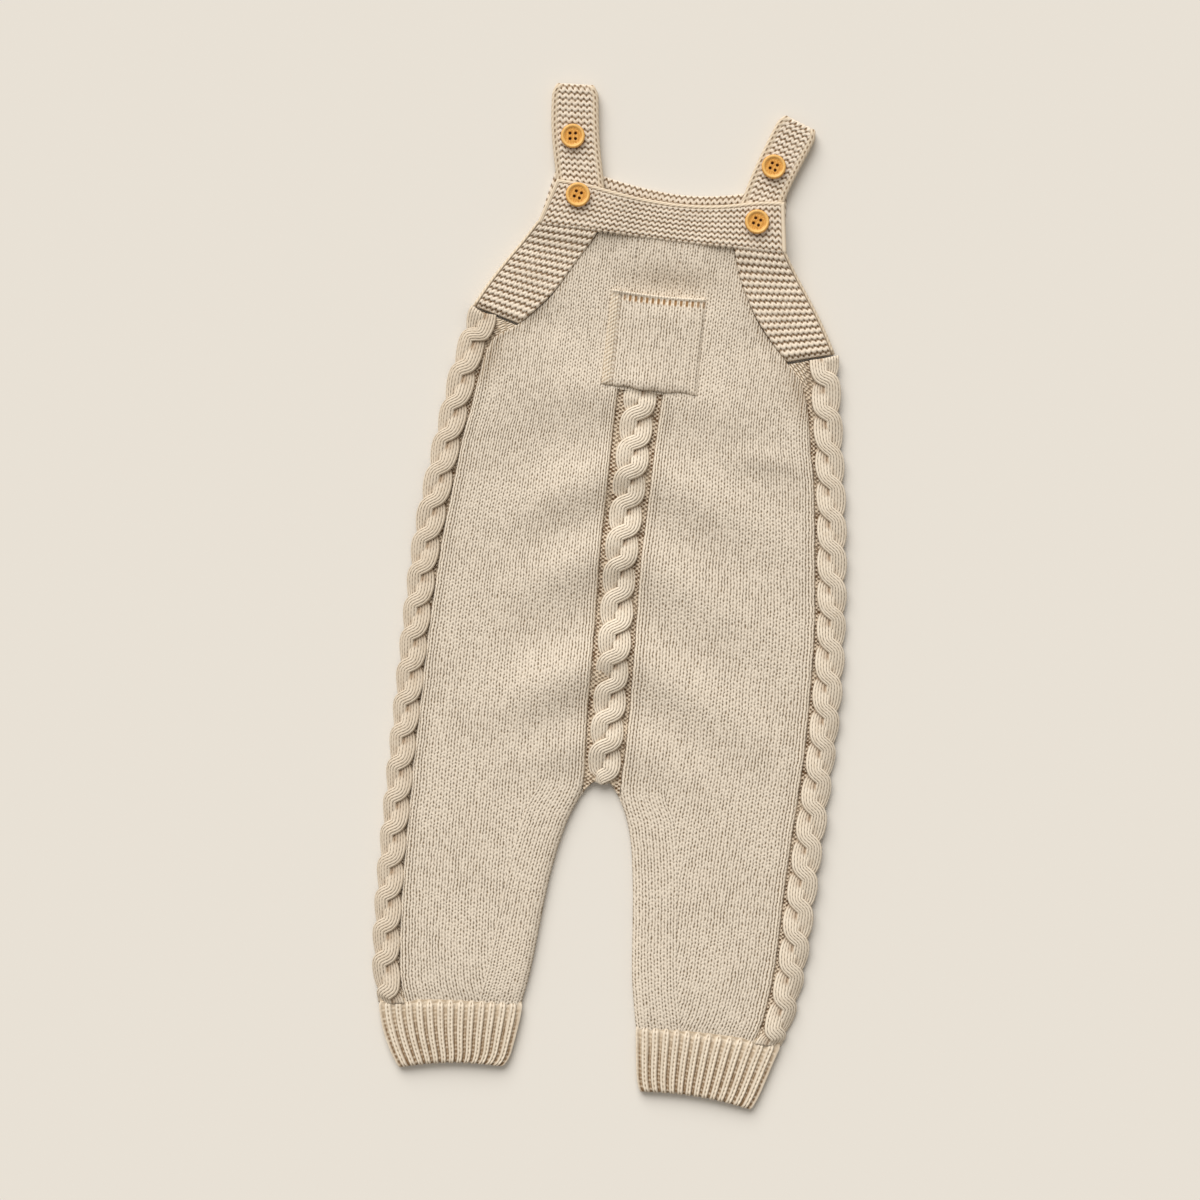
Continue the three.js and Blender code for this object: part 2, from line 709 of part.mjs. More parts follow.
function buttonGeometry() {
  const r = BUTTON_DIAMETER / 2;
  const profile = [
    [0, 0],
    [r - 1.2, 0],
    [r, 1.1],
    [r - 0.1, 2.0],
    [r - 0.8, BUTTON_THICK],
    [DISH.radius + 0.3, BUTTON_THICK - 0.2],
    [DISH.radius - 0.3, DISH.floor],
    [0, DISH.middle],
  ].map(([x, y]) => new THREE.Vector2(x, y));
  // A lathe turns about Y, so the button is stood up along Z.
  let body = solidOf(new THREE.LatheGeometry(profile, 28).rotateX(Math.PI / 2));
  for (const sx of [-1, 1]) {
    for (const sy of [-1, 1]) {
      const hole = new THREE.CylinderGeometry(
        SEWING_HOLE.radius,
        SEWING_HOLE.radius,
        BUTTON_THICK * 3,
        SEWING_HOLE.sides,
      );
      hole.rotateX(Math.PI / 2);
      hole.translate((sx * SEWING_HOLE.spacing) / 2, (sy * SEWING_HOLE.spacing) / 2, 0);
      body = body.subtract(solidOf(hole));
    }
  }
  return geometryOf(body);
}

// ---- The garment ----
const yarn = new THREE.MeshStandardMaterial({ color: 0xcdbda6, roughness: 0.95, metalness: 0 });
const wood = new THREE.MeshStandardMaterial({ color: 0xd3994f, roughness: 0.45, metalness: 0 });

const garment = new THREE.Group();
garment.name = "dungarees";

function add(name, geometry, material = yarn) {
  geometry.computeVertexNormals();
  const mesh = new THREE.Mesh(geometry, material);
  mesh.name = name;
  garment.add(mesh);
  return mesh;
}

for (const side of ["left", "right"]) {
  add(`back_${side}`, backPanel(side));
  add(`front_${side}`, frontPanel(side));
  add(`side_cable_${side}`, sidePanel(side));
  add(`cuff_${side}`, cuff(side));
  add(`armhole_back_${side}`, armholeBand(side, () => GARTER));
  add(`armhole_front_${side}`, armholeBand(side, bandTop));
  add(`strap_${side}`, strap(side));
}
add("front_centre_cable", centrePanel());
add("back_neck_band", neckBar(BACK_BAND, () => GARTER));
const overStraps = (p) => Math.max(bandTop(p), stackTop(p) + SEAM + GARTER);
add("bib_band", neckBar(BIB_BAND, overStraps));
add("pocket", pocket());

// The top of what lies under the bib band: the folded-down ends of the straps over the
// back's band, with slopes down to the band alone beside them.
function stackTop(p) {
  let z = GARTER;
  for (const side of ["left", "right"]) {
    const row = rowAt(STRAPS[side], STRAP_COLUMNS, "neck_y", p.y);
    const neck = along(STRAPS[side], STRAP_COLUMNS, "neck", row);
    const arm = along(STRAPS[side], STRAP_COLUMNS, "arm", row);
    const x = SIGN[side] * p.x;
    const beside = Math.max(neck - x, x - arm, 0);
    z = Math.max(z, GARTER + (GARTER + SEAM) * (1 - smooth((beside - 3) / 16)));
  }
  return z;
}

for (const [name, [x, y]] of Object.entries(BUTTONS)) {
  const button = add(`button_${name}`, buttonGeometry(), wood);
  const onStrap = 2 * GARTER + SEAM;
  const z = name.endsWith("lower") ? overStraps(new THREE.Vector3(x, y, 0)) : onStrap;
  button.position.set(x, y, z + SEAM);
}

const footprint = new THREE.Box3().setFromObject(garment, true);
const centre = footprint.getCenter(new THREE.Vector3());
garment.position.set(-centre.x, -centre.y, -footprint.min.z);
garment.updateMatrixWorld(true);

const part = new THREE.Group();
part.add(garment);

export default part;
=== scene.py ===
"""Looks of a baby's knitted dungarees, laid flat and face up.

Sizes in the functions are millimetres in the part's frame: X across the garment, Y from
the hems to the straps, Z up. "Outward" is X times a side's sign, so that the same
function serves the left and the right.
"""

import math

import bpy
import numpy as np
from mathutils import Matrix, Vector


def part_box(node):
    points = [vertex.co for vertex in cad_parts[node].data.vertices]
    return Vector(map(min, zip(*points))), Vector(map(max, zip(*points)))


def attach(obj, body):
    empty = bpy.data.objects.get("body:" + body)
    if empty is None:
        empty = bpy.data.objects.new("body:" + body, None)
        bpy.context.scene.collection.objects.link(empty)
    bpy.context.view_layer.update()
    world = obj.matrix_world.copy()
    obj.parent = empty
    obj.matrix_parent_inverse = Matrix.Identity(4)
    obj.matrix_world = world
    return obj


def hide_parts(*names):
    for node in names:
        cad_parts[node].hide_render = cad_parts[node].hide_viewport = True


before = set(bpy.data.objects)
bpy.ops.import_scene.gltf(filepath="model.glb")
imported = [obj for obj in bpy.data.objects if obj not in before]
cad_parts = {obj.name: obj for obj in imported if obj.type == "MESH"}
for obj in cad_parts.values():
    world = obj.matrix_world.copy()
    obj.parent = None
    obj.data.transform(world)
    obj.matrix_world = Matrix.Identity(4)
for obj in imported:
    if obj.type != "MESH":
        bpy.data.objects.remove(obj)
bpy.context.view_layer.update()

MM = 0.001
SIGN = {"left": -1.0, "right": 1.0}
INNER, OUTER = 0, 1  # the edges of a node, in the order that edges() gives them
UP = np.array([0.0, 0.0, 1.0])

# ---- Gauges of the knitting, in millimetres ----
ROW = 2.16  # height of a row of stocking stitch
JERSEY_COLUMNS = 28  # columns across half the front
INSEAM_COLUMNS = 7  # columns that run along each inseam
POCKET_STITCH = 2.96  # width of a column of the pocket
GARTER_STITCH = 3.1  # width of a garter stitch, and length of one along a cord
ARM_STITCH = 2.9  # width of a garter stitch of an armhole band
BAR_RIDGES = 8  # garter ridges across the bib band, and across the neck band
ARM_RIDGE = 3.9  # one garter ridge of an armhole band
STRAP_RIDGE = 3.1  # one garter ridge of a strap
FRONT_RIBS = 14  # ribs across the front of a cuff
CUFF_LENGTH = 33  # along the ribs
CUFF_TUCK = {"left": 3.6, "right": 1.6}  # how far its inner lower corner is cut back
# How far a band's ridges zigzag, as a share of a ridge, and the width of its cord.
BAR_ZIG, BAR_CORD = 0.24, 2.3
ARM_ZIG, ARM_CORD = 0.15, 2.1
STRAP_ZIG, STRAP_CORD = 0.22, 3.2

# ---- Cables ----
CENTRE_PITCH, SIDE_PITCH = 15.7, 17.0  # length of one crossing
CENTRE_PHASE = 0.7  # radians at its foot, fading out on the way up
SIDE_PHASE = {"left": 0.44, "right": 0.25}  # radians where a side cable starts
SIDE_SLIP = {"left": 0.48, "right": 0.0}  # radians lost on the way up
CENTRE_SWAY, CENTRE_HALF = 3.95, 4.8  # a strand's reach to each side, and half width
SIDE_SWAY, SIDE_HALF = 3.3, 4.65
HOOK = 2.4  # how sharply a strand turns back at the side of its cable
CROSS_RISE = 1.25  # how far a strand rises or sinks where the two cross
CROSS_SLIM = 0.75  # how much of its half width it loses there
STRAND_TOP, STRAND_UNDER = 1.8, 1.2  # height of a strand above and below its middle
COLUMN_RIDGE = 0.35  # height of the ridges on top of it
SIDE_SHIFT = {"left": 1.25, "right": 1.8}  # how far a side cable swells outward
EDGE_SHIFT = 1.2  # how far the front's edge goes out with it
# Painted shade: how much darker each side cable is painted.
SIDE_PAINTED_SHADE = {"left": 0.45, "right": 0.1}  # how much darker a side cable is

# ---- Heights of the layers ----
REST = 4.7  # the front's face where nothing lifts it
MEET = 2.35  # where front and back meet at the inseams
CLOTH = 1.8  # thickness of the plain knitting
SKIN = 0.03  # lowest point of the bands and cables, just clear of the surface
BAND_THICK = 2.8  # thickness of the bib, neck and armhole bands
STRAP_THICK = 2.7

# ---- Places, from the frame ----
CROTCH_DROP = 6.7  # how far the centre panel's corners reach below the crotch
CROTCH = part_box("front_centre_cable")[0].y / MM + CROTCH_DROP
BIB_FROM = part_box("bib_band")[0].y / MM - 0.3
CABLE_TOP = CROTCH + 202.6  # where the centre cable ends, under the pocket
ARMPIT = CROTCH + 195.0
POCKET_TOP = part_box("pocket")[1].y / MM - 2
STRAP_ENDS = (-49.5, 40.5)  # X of the strap ends under the bib

# Folds of the front: side (-1 left, 1 right), height above the crotch at the centre
# cable, height of the ridge, its half breadth, how far out it reaches, how sharply it
# ends there and how far it falls for each millimetre outward.
FOLDS = [
    (-1, 202, 2.4, 15, 60, 1.6, 0.10),
    (1, 206, 2.0, 15, 60, 1.6, 0.20),
    (-1, 163, 5.0, 15.5, 50, 1.6, 0.46),
    (1, 163, 5.0, 14.5, 56, 0.8, 0.32),
    (-1, 121.5, 4.5, 15.5, 49, 1.6, 0.46),
    (1, 121, 4.6, 16.5, 56, 0.8, 0.45),
    (-1, 63.5, 5.6, 17, 51, 1.6, 0.46),
    (1, 70, 5.0, 14.5, 56, 0.8, 0.48),
    (-1, 22.5, 2.0, 10.5, 40, 1.4, 0.35),
    (1, 26, 2.2, 12, 42, 1.2, 0.40),
]

# ---- Reading the frame ----
def corners_of(node):
    """Corners of a CAD node's triangles in millimetres, as (triangles, 3, 3)."""
    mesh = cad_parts[node].data
    mesh.calc_loop_triangles()
    numbers = np.zeros(len(mesh.loop_triangles) * 3, np.int32)
    mesh.loop_triangles.foreach_get("vertices", numbers)
    places = np.zeros(len(mesh.vertices) * 3, np.float32)
    mesh.vertices.foreach_get("co", places)
    return places.reshape(-1, 3)[numbers].reshape(-1, 3, 3).astype(float) / MM


def cut(node, axis, at):
    """Lowest and highest X, Y and Z of a node on each plane axis = at."""
    triangles = corners_of(node)
    a = triangles.reshape(-1, 3)
    b = triangles[:, [1, 2, 0]].reshape(-1, 3)
    low_end = np.minimum(a[:, axis], b[:, axis])
    high_end = np.maximum(a[:, axis], b[:, axis])
    level = np.clip(at, low_end.min() + 0.02, high_end.max() - 0.02)[:, None]
    crosses = (low_end <= level) & (high_end >= level) & (high_end - low_end > 1e-6)
    run = np.where(high_end - low_end > 1e-6, b[:, axis] - a[:, axis], 1.0)
    share = (level - a[:, axis]) / run
    place = a + share[..., None] * (b - a)
    low = np.where(crosses[..., None], place, np.inf).min(1)
    high = np.where(crosses[..., None], place, -np.inf).max(1)
    return low, high


def corner(node, sign, outward, upward):
    """(outward, Y) of the point of a node that is furthest in a direction in plan."""
    points = corners_of(node).reshape(-1, 3)
    best = np.argmax(points[:, 0] * sign * outward + points[:, 1] * upward)
    return np.array([points[best, 0] * sign, points[best, 1]])


def corners(node, sign, upward):
    """The inner and the outer corner at a node's top (upward above 0) or bottom."""
    return corner(node, sign, -1, upward), corner(node, sign, 1, upward)


def softened(values, reach):
    """Values averaged over a bell of so many steps, with the ends kept."""
    pad = min(int(reach * 3), len(values) - 2)
    bell_curve = np.exp(-0.5 * (np.arange(-pad, pad + 1) / reach) ** 2)
    before = 2 * values[0] - values[pad:0:-1]
    after = 2 * values[-1] - values[-2 : -pad - 2 : -1]
    joined = np.concatenate([before, values, after])
    return np.convolve(joined, bell_curve / bell_curve.sum(), "valid")


def edges(node, sign, heights, soft=6.0):
    """Outward places of a node's inner and outer edge at each height, softened over
    that many millimetres."""
    low, high = cut(node, 1, heights)
    both = np.stack([low[:, 0] * sign, high[:, 0] * sign])
    step = abs(np.diff(heights).mean())
    return [softened(e, max(0.5, soft / step)) for e in (both.min(0), both.max(0))]


def edge_line(node, sign, heights, soft, which):
    """(outward, Y) of the points of a node's INNER or OUTER edge at each height."""
    return np.stack([edges(node, sign, heights, soft)[which], heights], -1)


def distances(steps):
    """How far along each point lies, from 0, where steps are the distances between."""
    return np.concatenate([[0], np.cumsum(steps)])


def at_places(places, known, line):
    """Points of a line, (points, 2), at places between known ones."""
    return np.stack([np.interp(places, known, line[:, k]) for k in (0, 1)], -1)


# ---- Shapes ----
def smooth(t):
    """0 below 0, 1 above 1, and an S between."""
    t = np.clip(t, 0, 1)
    return t * t * (3 - 2 * t)


def bell(t):
    """A soft hump, 1 at 0 and almost nothing past 2."""
    return np.exp(-t * t)


def rounded(distance, radius):
    """How far a rounded edge has fallen, from 1 on the edge to 0 at the radius."""
    near = 1 - np.clip(distance / radius, 0, 1)
    return 1 - np.sqrt(1 - near * near)


heights_of_middle = np.linspace(CROTCH - 6, BIB_FROM, 150)
left_side, right_side = cut("front_centre_cable", 1, heights_of_middle)
middle_line = softened((left_side[:, 0] + right_side[:, 0]) / 2, 6)
middle_half = softened((right_side[:, 0] - left_side[:, 0]) / 2, 6)


def middle(y):
    """X of the centre cable's middle line at a height."""
    return np.interp(y, heights_of_middle, middle_line)


def half_middle(y):
    """Half the width of the centre cable's panel at a height."""
    return np.interp(y, heights_of_middle, middle_half)


def front_height(x, y):
    """Height of the front's face: rest, plus a low puff over each side, plus the soft
    folds, plus the lift where the bib lies on the strap ends."""
    from_middle = x - middle(y)
    out = np.abs(from_middle)
    up = y - CROTCH
    share = np.clip((out - 8) / 90, 0, 1)
    puff = smooth((up + 128) / 30) * (1 - 0.7 * smooth((up - 190) / 60))
    z = REST + np.sin(np.pi * share) ** 0.7 * puff
    for side, height, rise, breadth, reach, end, fall in FOLDS:
        here = smooth(0.5 + side * from_middle / 8) * rise
        here = here * bell((out / reach) ** end)
        z = z + here * bell((up - height + fall * out) / breadth)
    # A short crescent fold beside the right side's cable.
    bow = (x - 61) / 20
    z = z + 1.3 * bell(bow) * bell((up - 176 + 2.5 * bow**2) / 6)
    lifted = 1 - smooth((BIB_FROM + 9 - y) / 20)
    for place in STRAP_ENDS:
        z = z + 3.2 * bell((x - place) / 17) * lifted
    # Small dips: under the bib, above the pocket and beside the armhole bands.
    z = z - 2.8 * bell((x - 2) / 20) * bell((y - BIB_FROM + 25) / 9)
    z = z - 1.7 * bell((x + 60) / 13) * bell((y - BIB_FROM + 50) / 10)
    z = z - 1.5 * bell((x - 50) / 11) * bell((y - BIB_FROM + 46) / 11)
    return z


def shade_above_pocket(x, y):
    """How dark the hollow above the pocket is."""
    return 0.45 * bell((x - 2) / 24) * bell((y - POCKET_TOP - 9) / 9)


def gather_shade_under_bib(y):
    """How strongly the columns draw together where they go under the bib, painted as
    shade in the gaps between them.
    """
    return 0.3 * bell((BIB_FROM - y) / 4)


# ---- Building pieces ----
def xyz(x, y, z):
    """Points, (..., 3), from their X, Y and Z."""
    return np.stack([x, y, z], -1)


def grid_faces(rows, columns, ring=False, first=0):
    """Corner numbers of a grid's faces, row by row. On a ring the last column joins
    the first."""
    r = np.arange(rows - 1)[:, None] * columns
    c = np.arange(columns if ring else columns - 1)[None, :]
    n = (c + 1) % columns
    four = [r + c, r + n, r + columns + n, r + columns + c]
    return first + np.stack(four, -1).reshape(-1, 4)


def make_piece(name, points, faces, face_uv, material, attributes, caps=(), sharp=None):
    """A mesh from points in millimetres, four-cornered faces with a UV for each
    corner, and end caps. It is turned inside out if its faces look inward."""
    p = points * MM
    a, b, c, d = (p[faces[:, k]] for k in range(4))
    # Volume under each face, as two tetrahedra on the origin.
    volume = (np.cross(a, b) * c).sum() + (np.cross(a, c) * d).sum()
    caps = [list(map(int, cap)) for cap in caps]
    if volume < 0:
        faces = faces[:, ::-1]
        face_uv = face_uv[:, ::-1]
        caps = [cap[::-1] for cap in caps]
    mesh = bpy.data.meshes.new(name)
    mesh.from_pydata(p.tolist(), [], faces.tolist() + caps)
    uv = np.zeros((len(mesh.loops), 2), np.float32)
    uv[: faces.size] = face_uv.reshape(-1, 2)
    mesh.uv_layers.new(name="stitches").data.foreach_set("uv", uv.ravel())
    for attribute, values in attributes.items():
        layer = mesh.attributes.new(attribute, "FLOAT", "POINT")
        layer.data.foreach_set("value", np.ravel(values).astype(np.float32))
    mesh.polygons.foreach_set("use_smooth", np.ones(len(mesh.polygons), bool))
    if sharp:
        mesh.set_sharp_from_angle(angle=math.radians(sharp))
    mesh.materials.append(material)
    mesh.validate()
    piece = bpy.data.objects.new(name, mesh)
    bpy.context.scene.collection.objects.link(piece)
    return piece


def layered(name, upper, lower, uv, material, attributes, seam=None):
    """A sheet with an upper and a lower grid of points, (rows, columns, 3), joined
    round its rim. seam is a column and the stitch coordinates that hold there for the
    faces beyond it."""
    rows, columns = upper.shape[:2]
    count = rows * columns
    points = np.concatenate([upper.reshape(-1, 3), lower.reshape(-1, 3)])
    top = grid_faces(rows, columns)
    under = grid_faces(rows, columns, first=count)[:, ::-1]
    number = np.arange(count).reshape(rows, columns)
    walk = [number[0, :], number[:, -1], number[-1, ::-1], number[::-1, 0]]
    rim = np.concatenate([w[:-1] for w in walk])
    after = np.roll(rim, -1)
    sides = np.stack([rim, rim + count, after + count, after], -1)
    faces = np.concatenate([top, under, sides])
    face_uv = np.concatenate([uv.reshape(-1, 2)] * 2)[faces]
    if seam:
        column, beyond_uv = seam
        beyond = (faces % columns).max(1) > column
        here = (faces % columns == column) & beyond[:, None]
        face_uv[here] = beyond_uv[(faces % count // columns)[here]]
    doubled = {k: np.concatenate([np.ravel(v)] * 2) for k, v in attributes.items()}
    return make_piece(name, points, faces, face_uv, material, doubled, sharp=55)


def tube(name, rings, uv, material, attributes):
    """A closed tube from rings of points, (rows, around, 3), flat where it would sink
    below the surface."""
    rings[..., 2] = np.maximum(rings[..., 2], SKIN)
    rows, around = rings.shape[:2]
    faces = grid_faces(rows, around, ring=True)
    start = np.arange(around)[::-1]
    end = np.arange(around) + (rows - 1) * around
    return make_piece(
        name,
        rings.reshape(-1, 3),
        faces,
        uv.reshape(-1, 2)[faces],
        material,
        attributes,
        caps=[start, end],
    )


# ---- Materials ----
class Flow:
    """A value or colour inside a material, written with ordinary sums."""

    def __init__(self, tree, socket):
        self.tree = tree
        self.socket = socket

    def node(self, kind, output=0, settings=None, **inputs):
        made = self.tree.nodes.new(kind)
        for key, value in (settings or {}).items():
            setattr(made, key, value)
        for key, value in inputs.items():
            place = int(key[1:]) if key[1:].isdigit() else key.replace("_", " ")
            slot = made.inputs[place]
            if isinstance(value, Flow):
                self.tree.links.new(value.socket, slot)
            else:
                slot.default_value = value
        return Flow(self.tree, made.outputs[output])

    def math(self, operation, *values):
        inputs = {f"i{k}": v for k, v in enumerate(values)}
        return self.node("ShaderNodeMath", settings={"operation": operation}, **inputs)

    def __add__(self, other):
        return self.math("ADD", self, other)

    __radd__ = __add__

    def __sub__(self, other):
        return self.math("SUBTRACT", self, other)

    def __rsub__(self, other):
        return self.math("SUBTRACT", other, self)

    def __mul__(self, other):
        return self.math("MULTIPLY", self, other)

    __rmul__ = __mul__

    def __truediv__(self, other):
        return self.math("DIVIDE", self, other)

    def __pow__(self, other):
        return self.math("POWER", self, other)

    def least(self, other):
        return self.math("MINIMUM", self, other)

    def most(self, other):
        return self.math("MAXIMUM", self, other)

    def rise(self, low, high):
        """0 below low, 1 above high, and an S between."""
        return self.node(
            "ShaderNodeMapRange",
            settings={"interpolation_type": "SMOOTHSTEP"},
            Value=self,
            From_Min=low,
            From_Max=high,
        )

    def mix(self, first, second):
        """first where this is 0 and second where it is 1, as colours."""
        return self.node(
            "ShaderNodeMix",
            output=2,
            settings={"data_type": "RGBA"},
            i0=self,
            i6=first,
            i7=second,
        )

    def tint(self, share, r, g, b):
        """This colour, turned towards a screen colour by a share."""
        return share.mix(self, linear(r, g, b))

    def wave(self):
        """A wave of period 1, from -1 to 1, highest at whole numbers."""
        return self.math("COSINE", self * (2 * math.pi))

    def swell(self):
        """The same wave from 0 to 1."""
        return self.wave() * 0.5 + 0.5

    def fold(self):
        """0 at whole numbers, straight up to 1 half way and down again."""
        return self.math("PINGPONG", self, 0.5) * 2.0

    def zigzag(self):
        """A zigzag of period 1, 1 at whole numbers and -1 half way."""
        return self.math("PINGPONG", self, 0.5) * -4.0 + 1.0


def linear(r, g, b):
    """A colour given as screen values from 0 to 255, for a shader."""
    s = np.array([r, g, b]) / 255
    value = np.where(s > 0.04045, ((s + 0.055) / 1.055) ** 2.4, s / 12.92)
    return (*map(float, value), 1.0)


YARN = linear(224, 211, 193)
# The shade colours below are painted shade: the dark of the gaps between stitches and
# between columns.
YARN_SHADE = linear(141, 118, 89)
GARTER_SHADE = linear(126, 98, 69)
HOLLOW_SHADE = (122, 98, 70)  # between columns, as screen values


class Knit:
    """The start of a knitted material: its stitch coordinates and noises."""

    def __init__(self, name):
        self.material = bpy.data.materials.new(name)
        self.material.use_nodes = True
        self.tree = self.material.node_tree
        self.surface = self.tree.nodes["Principled BSDF"]
        self.start = Flow(self.tree, None)
        place = self.start.node("ShaderNodeUVMap", settings={"uv_map": "stitches"})
        parts = self.start.node("ShaderNodeSeparateXYZ", Vector=place).socket.node
        self.u, self.v = (Flow(self.tree, part) for part in parts.outputs[:2])

    def attribute(self, name):
        return self.start.node(
            "ShaderNodeAttribute", output=2, settings={"attribute_name": name}
        )

    def noise(self, across, along, seed, detail=2.0):
        """Noise from 0 to 1 that changes over 1/across stitches and 1/along rows."""
        place = self.start.node(
            "ShaderNodeCombineXYZ", i0=self.u * across, i1=self.v * along, i2=seed
        )
        return self.start.node(
            "ShaderNodeTexNoise", Vector=place, Scale=1.0, Detail=detail
        )

    def sway(self, across, along, seed, reach):
        """The same noise, spread over reach on both sides of 0."""
        return (self.noise(across, along, seed) - 0.5) * reach

    def speckle(self, u, v, seed):
        """A random value for each whole number of u and v."""
        place = self.start.node(
            "ShaderNodeCombineXYZ",
            i0=u.math("FLOOR", u),
            i1=v.math("FLOOR", v),
            i2=seed,
        )
        return self.start.node(
            "ShaderNodeTexWhiteNoise", settings={"noise_dimensions": "3D"}, Vector=place
        )

    def finish(self, colour, height, relief, rough=0.92):
        """Sets the colour, and a relief in millimetres from a height of 0 to 1."""
        bump = self.start.node(
            "ShaderNodeBump", Height=height, Distance=relief * MM, Strength=1.0
        )
        self.tree.links.new(colour.socket, self.surface.inputs["Base Color"])
        self.tree.links.new(bump.socket, self.surface.inputs["Normal"])
        self.surface.inputs["Roughness"].default_value = rough
        self.surface.inputs["Specular IOR Level"].default_value = 0.15
        return self.material


def plain_knit(name, pocket=False):
    """Stocking stitch: each column is two legs with a line on each side, broken once a
    row, half a row later on the column's middle. The lines and dots are painted shade
    in the gaps. Each leg has its own tone. Along a cable the lines deepen, and at the
    seams they draw together into streaks, both in painted shade."""
    k = Knit(name)
    u = k.u + k.sway(0.22, 0.16, 3.1, 0.4) + k.sway(0.9, 0.8, 4.9, 0.34)
    v = k.v + k.sway(0.20, 0.20, 8.7, 1.1) + k.sway(0.9, 0.9, 6.2, 0.7)
    across = u.fold()  # 0 between columns, 1 on their middle
    leg = (across * (1.0 - across) * 4.0) ** 0.8
    stripe = (v + across * 0.5).swell()
    patch = k.noise(0.07, 0.06, 12.0).rise(0.35, 0.65) * 0.3 + 0.4
    bite = k.speckle(u * 2.0 + 0.5, v, 9.0) * 0.7 + 0.6
    dot = ((1.0 - leg) * (1.0 - stripe * patch) * bite).least(1.0)
    grain = k.speckle(u * 2.0, v + across * 0.5, 1.0)
    height = 1.0 - dot - leg * (1.0 - stripe) * 0.12 - grain * 0.16
    # Painted shade: the lines deepen near a cable's edge, and the gaps darken where the
    # columns draw together.
    edge = k.attribute("edge")
    near = 1.0 - edge.rise(3.0, 8.0)
    line = 1.0 - leg.rise(0.1, 0.75)
    deep = near * line * (1.25 - stripe * 0.9).least(1.0)
    between_columns = 1.0 - across.rise(0.0, 0.55)
    gather = k.attribute("gather") * between_columns
    dark = deep.most(gather)
    height = height * (1.0 - dark * 0.8)
    colour = height.rise(0.0, 0.85).mix(YARN_SHADE, YARN)
    colour = colour.tint(dark * 0.85, *HOLLOW_SHADE)
    # Painted highlight on the raised column beside a cable's edge.
    proud_highlight = (1.0 - edge.rise(2.2, 3.2)) * leg
    colour = colour.tint(proud_highlight * 0.5, 232, 218, 198)
    # Painted shade in hollows, beside seams and under edges.
    colour = colour.tint(k.attribute("soil") * 0.5, 158, 134, 104)
    if pocket:
        # Painted shade in the slots under the top edge, between the strip's slanted
        # stitches and in the furrow beside the strip.
        top = k.attribute("from_top")
        dash = top.rise(1.6, 2.2) * (1.0 - top.rise(4.2, 6.0))
        slot = (k.u + 0.5).wave().rise(-0.35, 0.35)
        strength = k.attribute("slots")
        colour = colour.tint(dash * slot * strength, 156, 120, 82)
        hem = (1.0 - top.rise(1.5, 2.1)).most(dash * (1.0 - slot) * strength)
        colour = colour.tint(hem * 0.75, 230, 216, 196)
        left = k.attribute("from_left")
        slant = (k.v - left * 0.35).swell()
        strip = 1.0 - left.rise(4.4, 5.2)
        lip = slant.mix(linear(190, 170, 143), linear(232, 219, 199))
        colour = (strip * (1.0 - hem) * 0.8).mix(colour, lip)
        furrow = left.rise(4.6, 5.2) * (1.0 - left.rise(5.6, 6.3))
        dots = k.v.swell().rise(0.2, 0.9)
        colour = colour.tint(furrow * dots * 0.6, *HOLLOW_SHADE)
    return k.finish(colour, height, 0.6)


def garter_knit(name, zig, gap, cord, line, dotted):
    """Garter stitch: light ridges that zigzag once a stitch, with a dash of painted
    shade in each hollow where the zigzag turns. The attribute from_edge is the distance
    from an edge with a slipped-stitch cord, this wide and with a line of painted shade
    this far in; the dark between the cord's twists is painted shade too."""
    k = Knit(name)
    u = k.u + k.sway(0.3, 0.2, 2.2, 0.5)
    v = k.v + k.sway(0.25, 0.25, 6.1, 0.3)
    turn = u.zigzag()
    ridge = (v - turn * zig).swell()
    dark = 1.0 - ridge.rise(0.02, gap)
    bite = turn.math("ABSOLUTE", turn).rise(0.1, 0.9) * 0.5 + 0.5
    patch = k.noise(0.5, 0.4, 15.0).rise(0.2, 0.7) * 0.35 + 0.65
    dark = dark * bite * patch
    strand = (u * 2.0 + v * 0.8).swell() * 0.25
    height = (1.0 - dark) * (0.78 + strand)
    colour = height.rise(0.15, 0.95).mix(GARTER_SHADE, linear(232, 218, 199))
    fleck = k.speckle(u * 2.0, v, 4.0) * 0.6 + k.noise(1.2, 1.0, 7.0) * 0.4
    colour = colour.tint(fleck.rise(0.35, 0.9) * 0.22, 166, 142, 112)
    from_edge = k.attribute("from_edge")
    along = k.attribute("along")
    away = (from_edge - line) / 0.42
    fall = away * away * -1.0
    groove = fall.math("EXPONENT", fall)
    dots = along.swell().rise(0.15, 0.8)
    groove = groove * (dots * dotted + (1.0 - dotted))
    twist = (along + from_edge * 0.5).swell() * 0.45
    cord_height = 0.9 - groove * 0.75 - twist * 0.5
    cord_colour = (groove * 0.9).mix(
        twist.mix(linear(222, 206, 183), linear(172, 150, 121)), linear(132, 104, 74)
    )
    edging = 1.0 - from_edge.rise(cord - 0.25, cord + 0.25)
    colour = edging.mix(colour, cord_colour)
    height = height * (1.0 - edging) + cord_height * edging
    return k.finish(colour, height, 0.45)


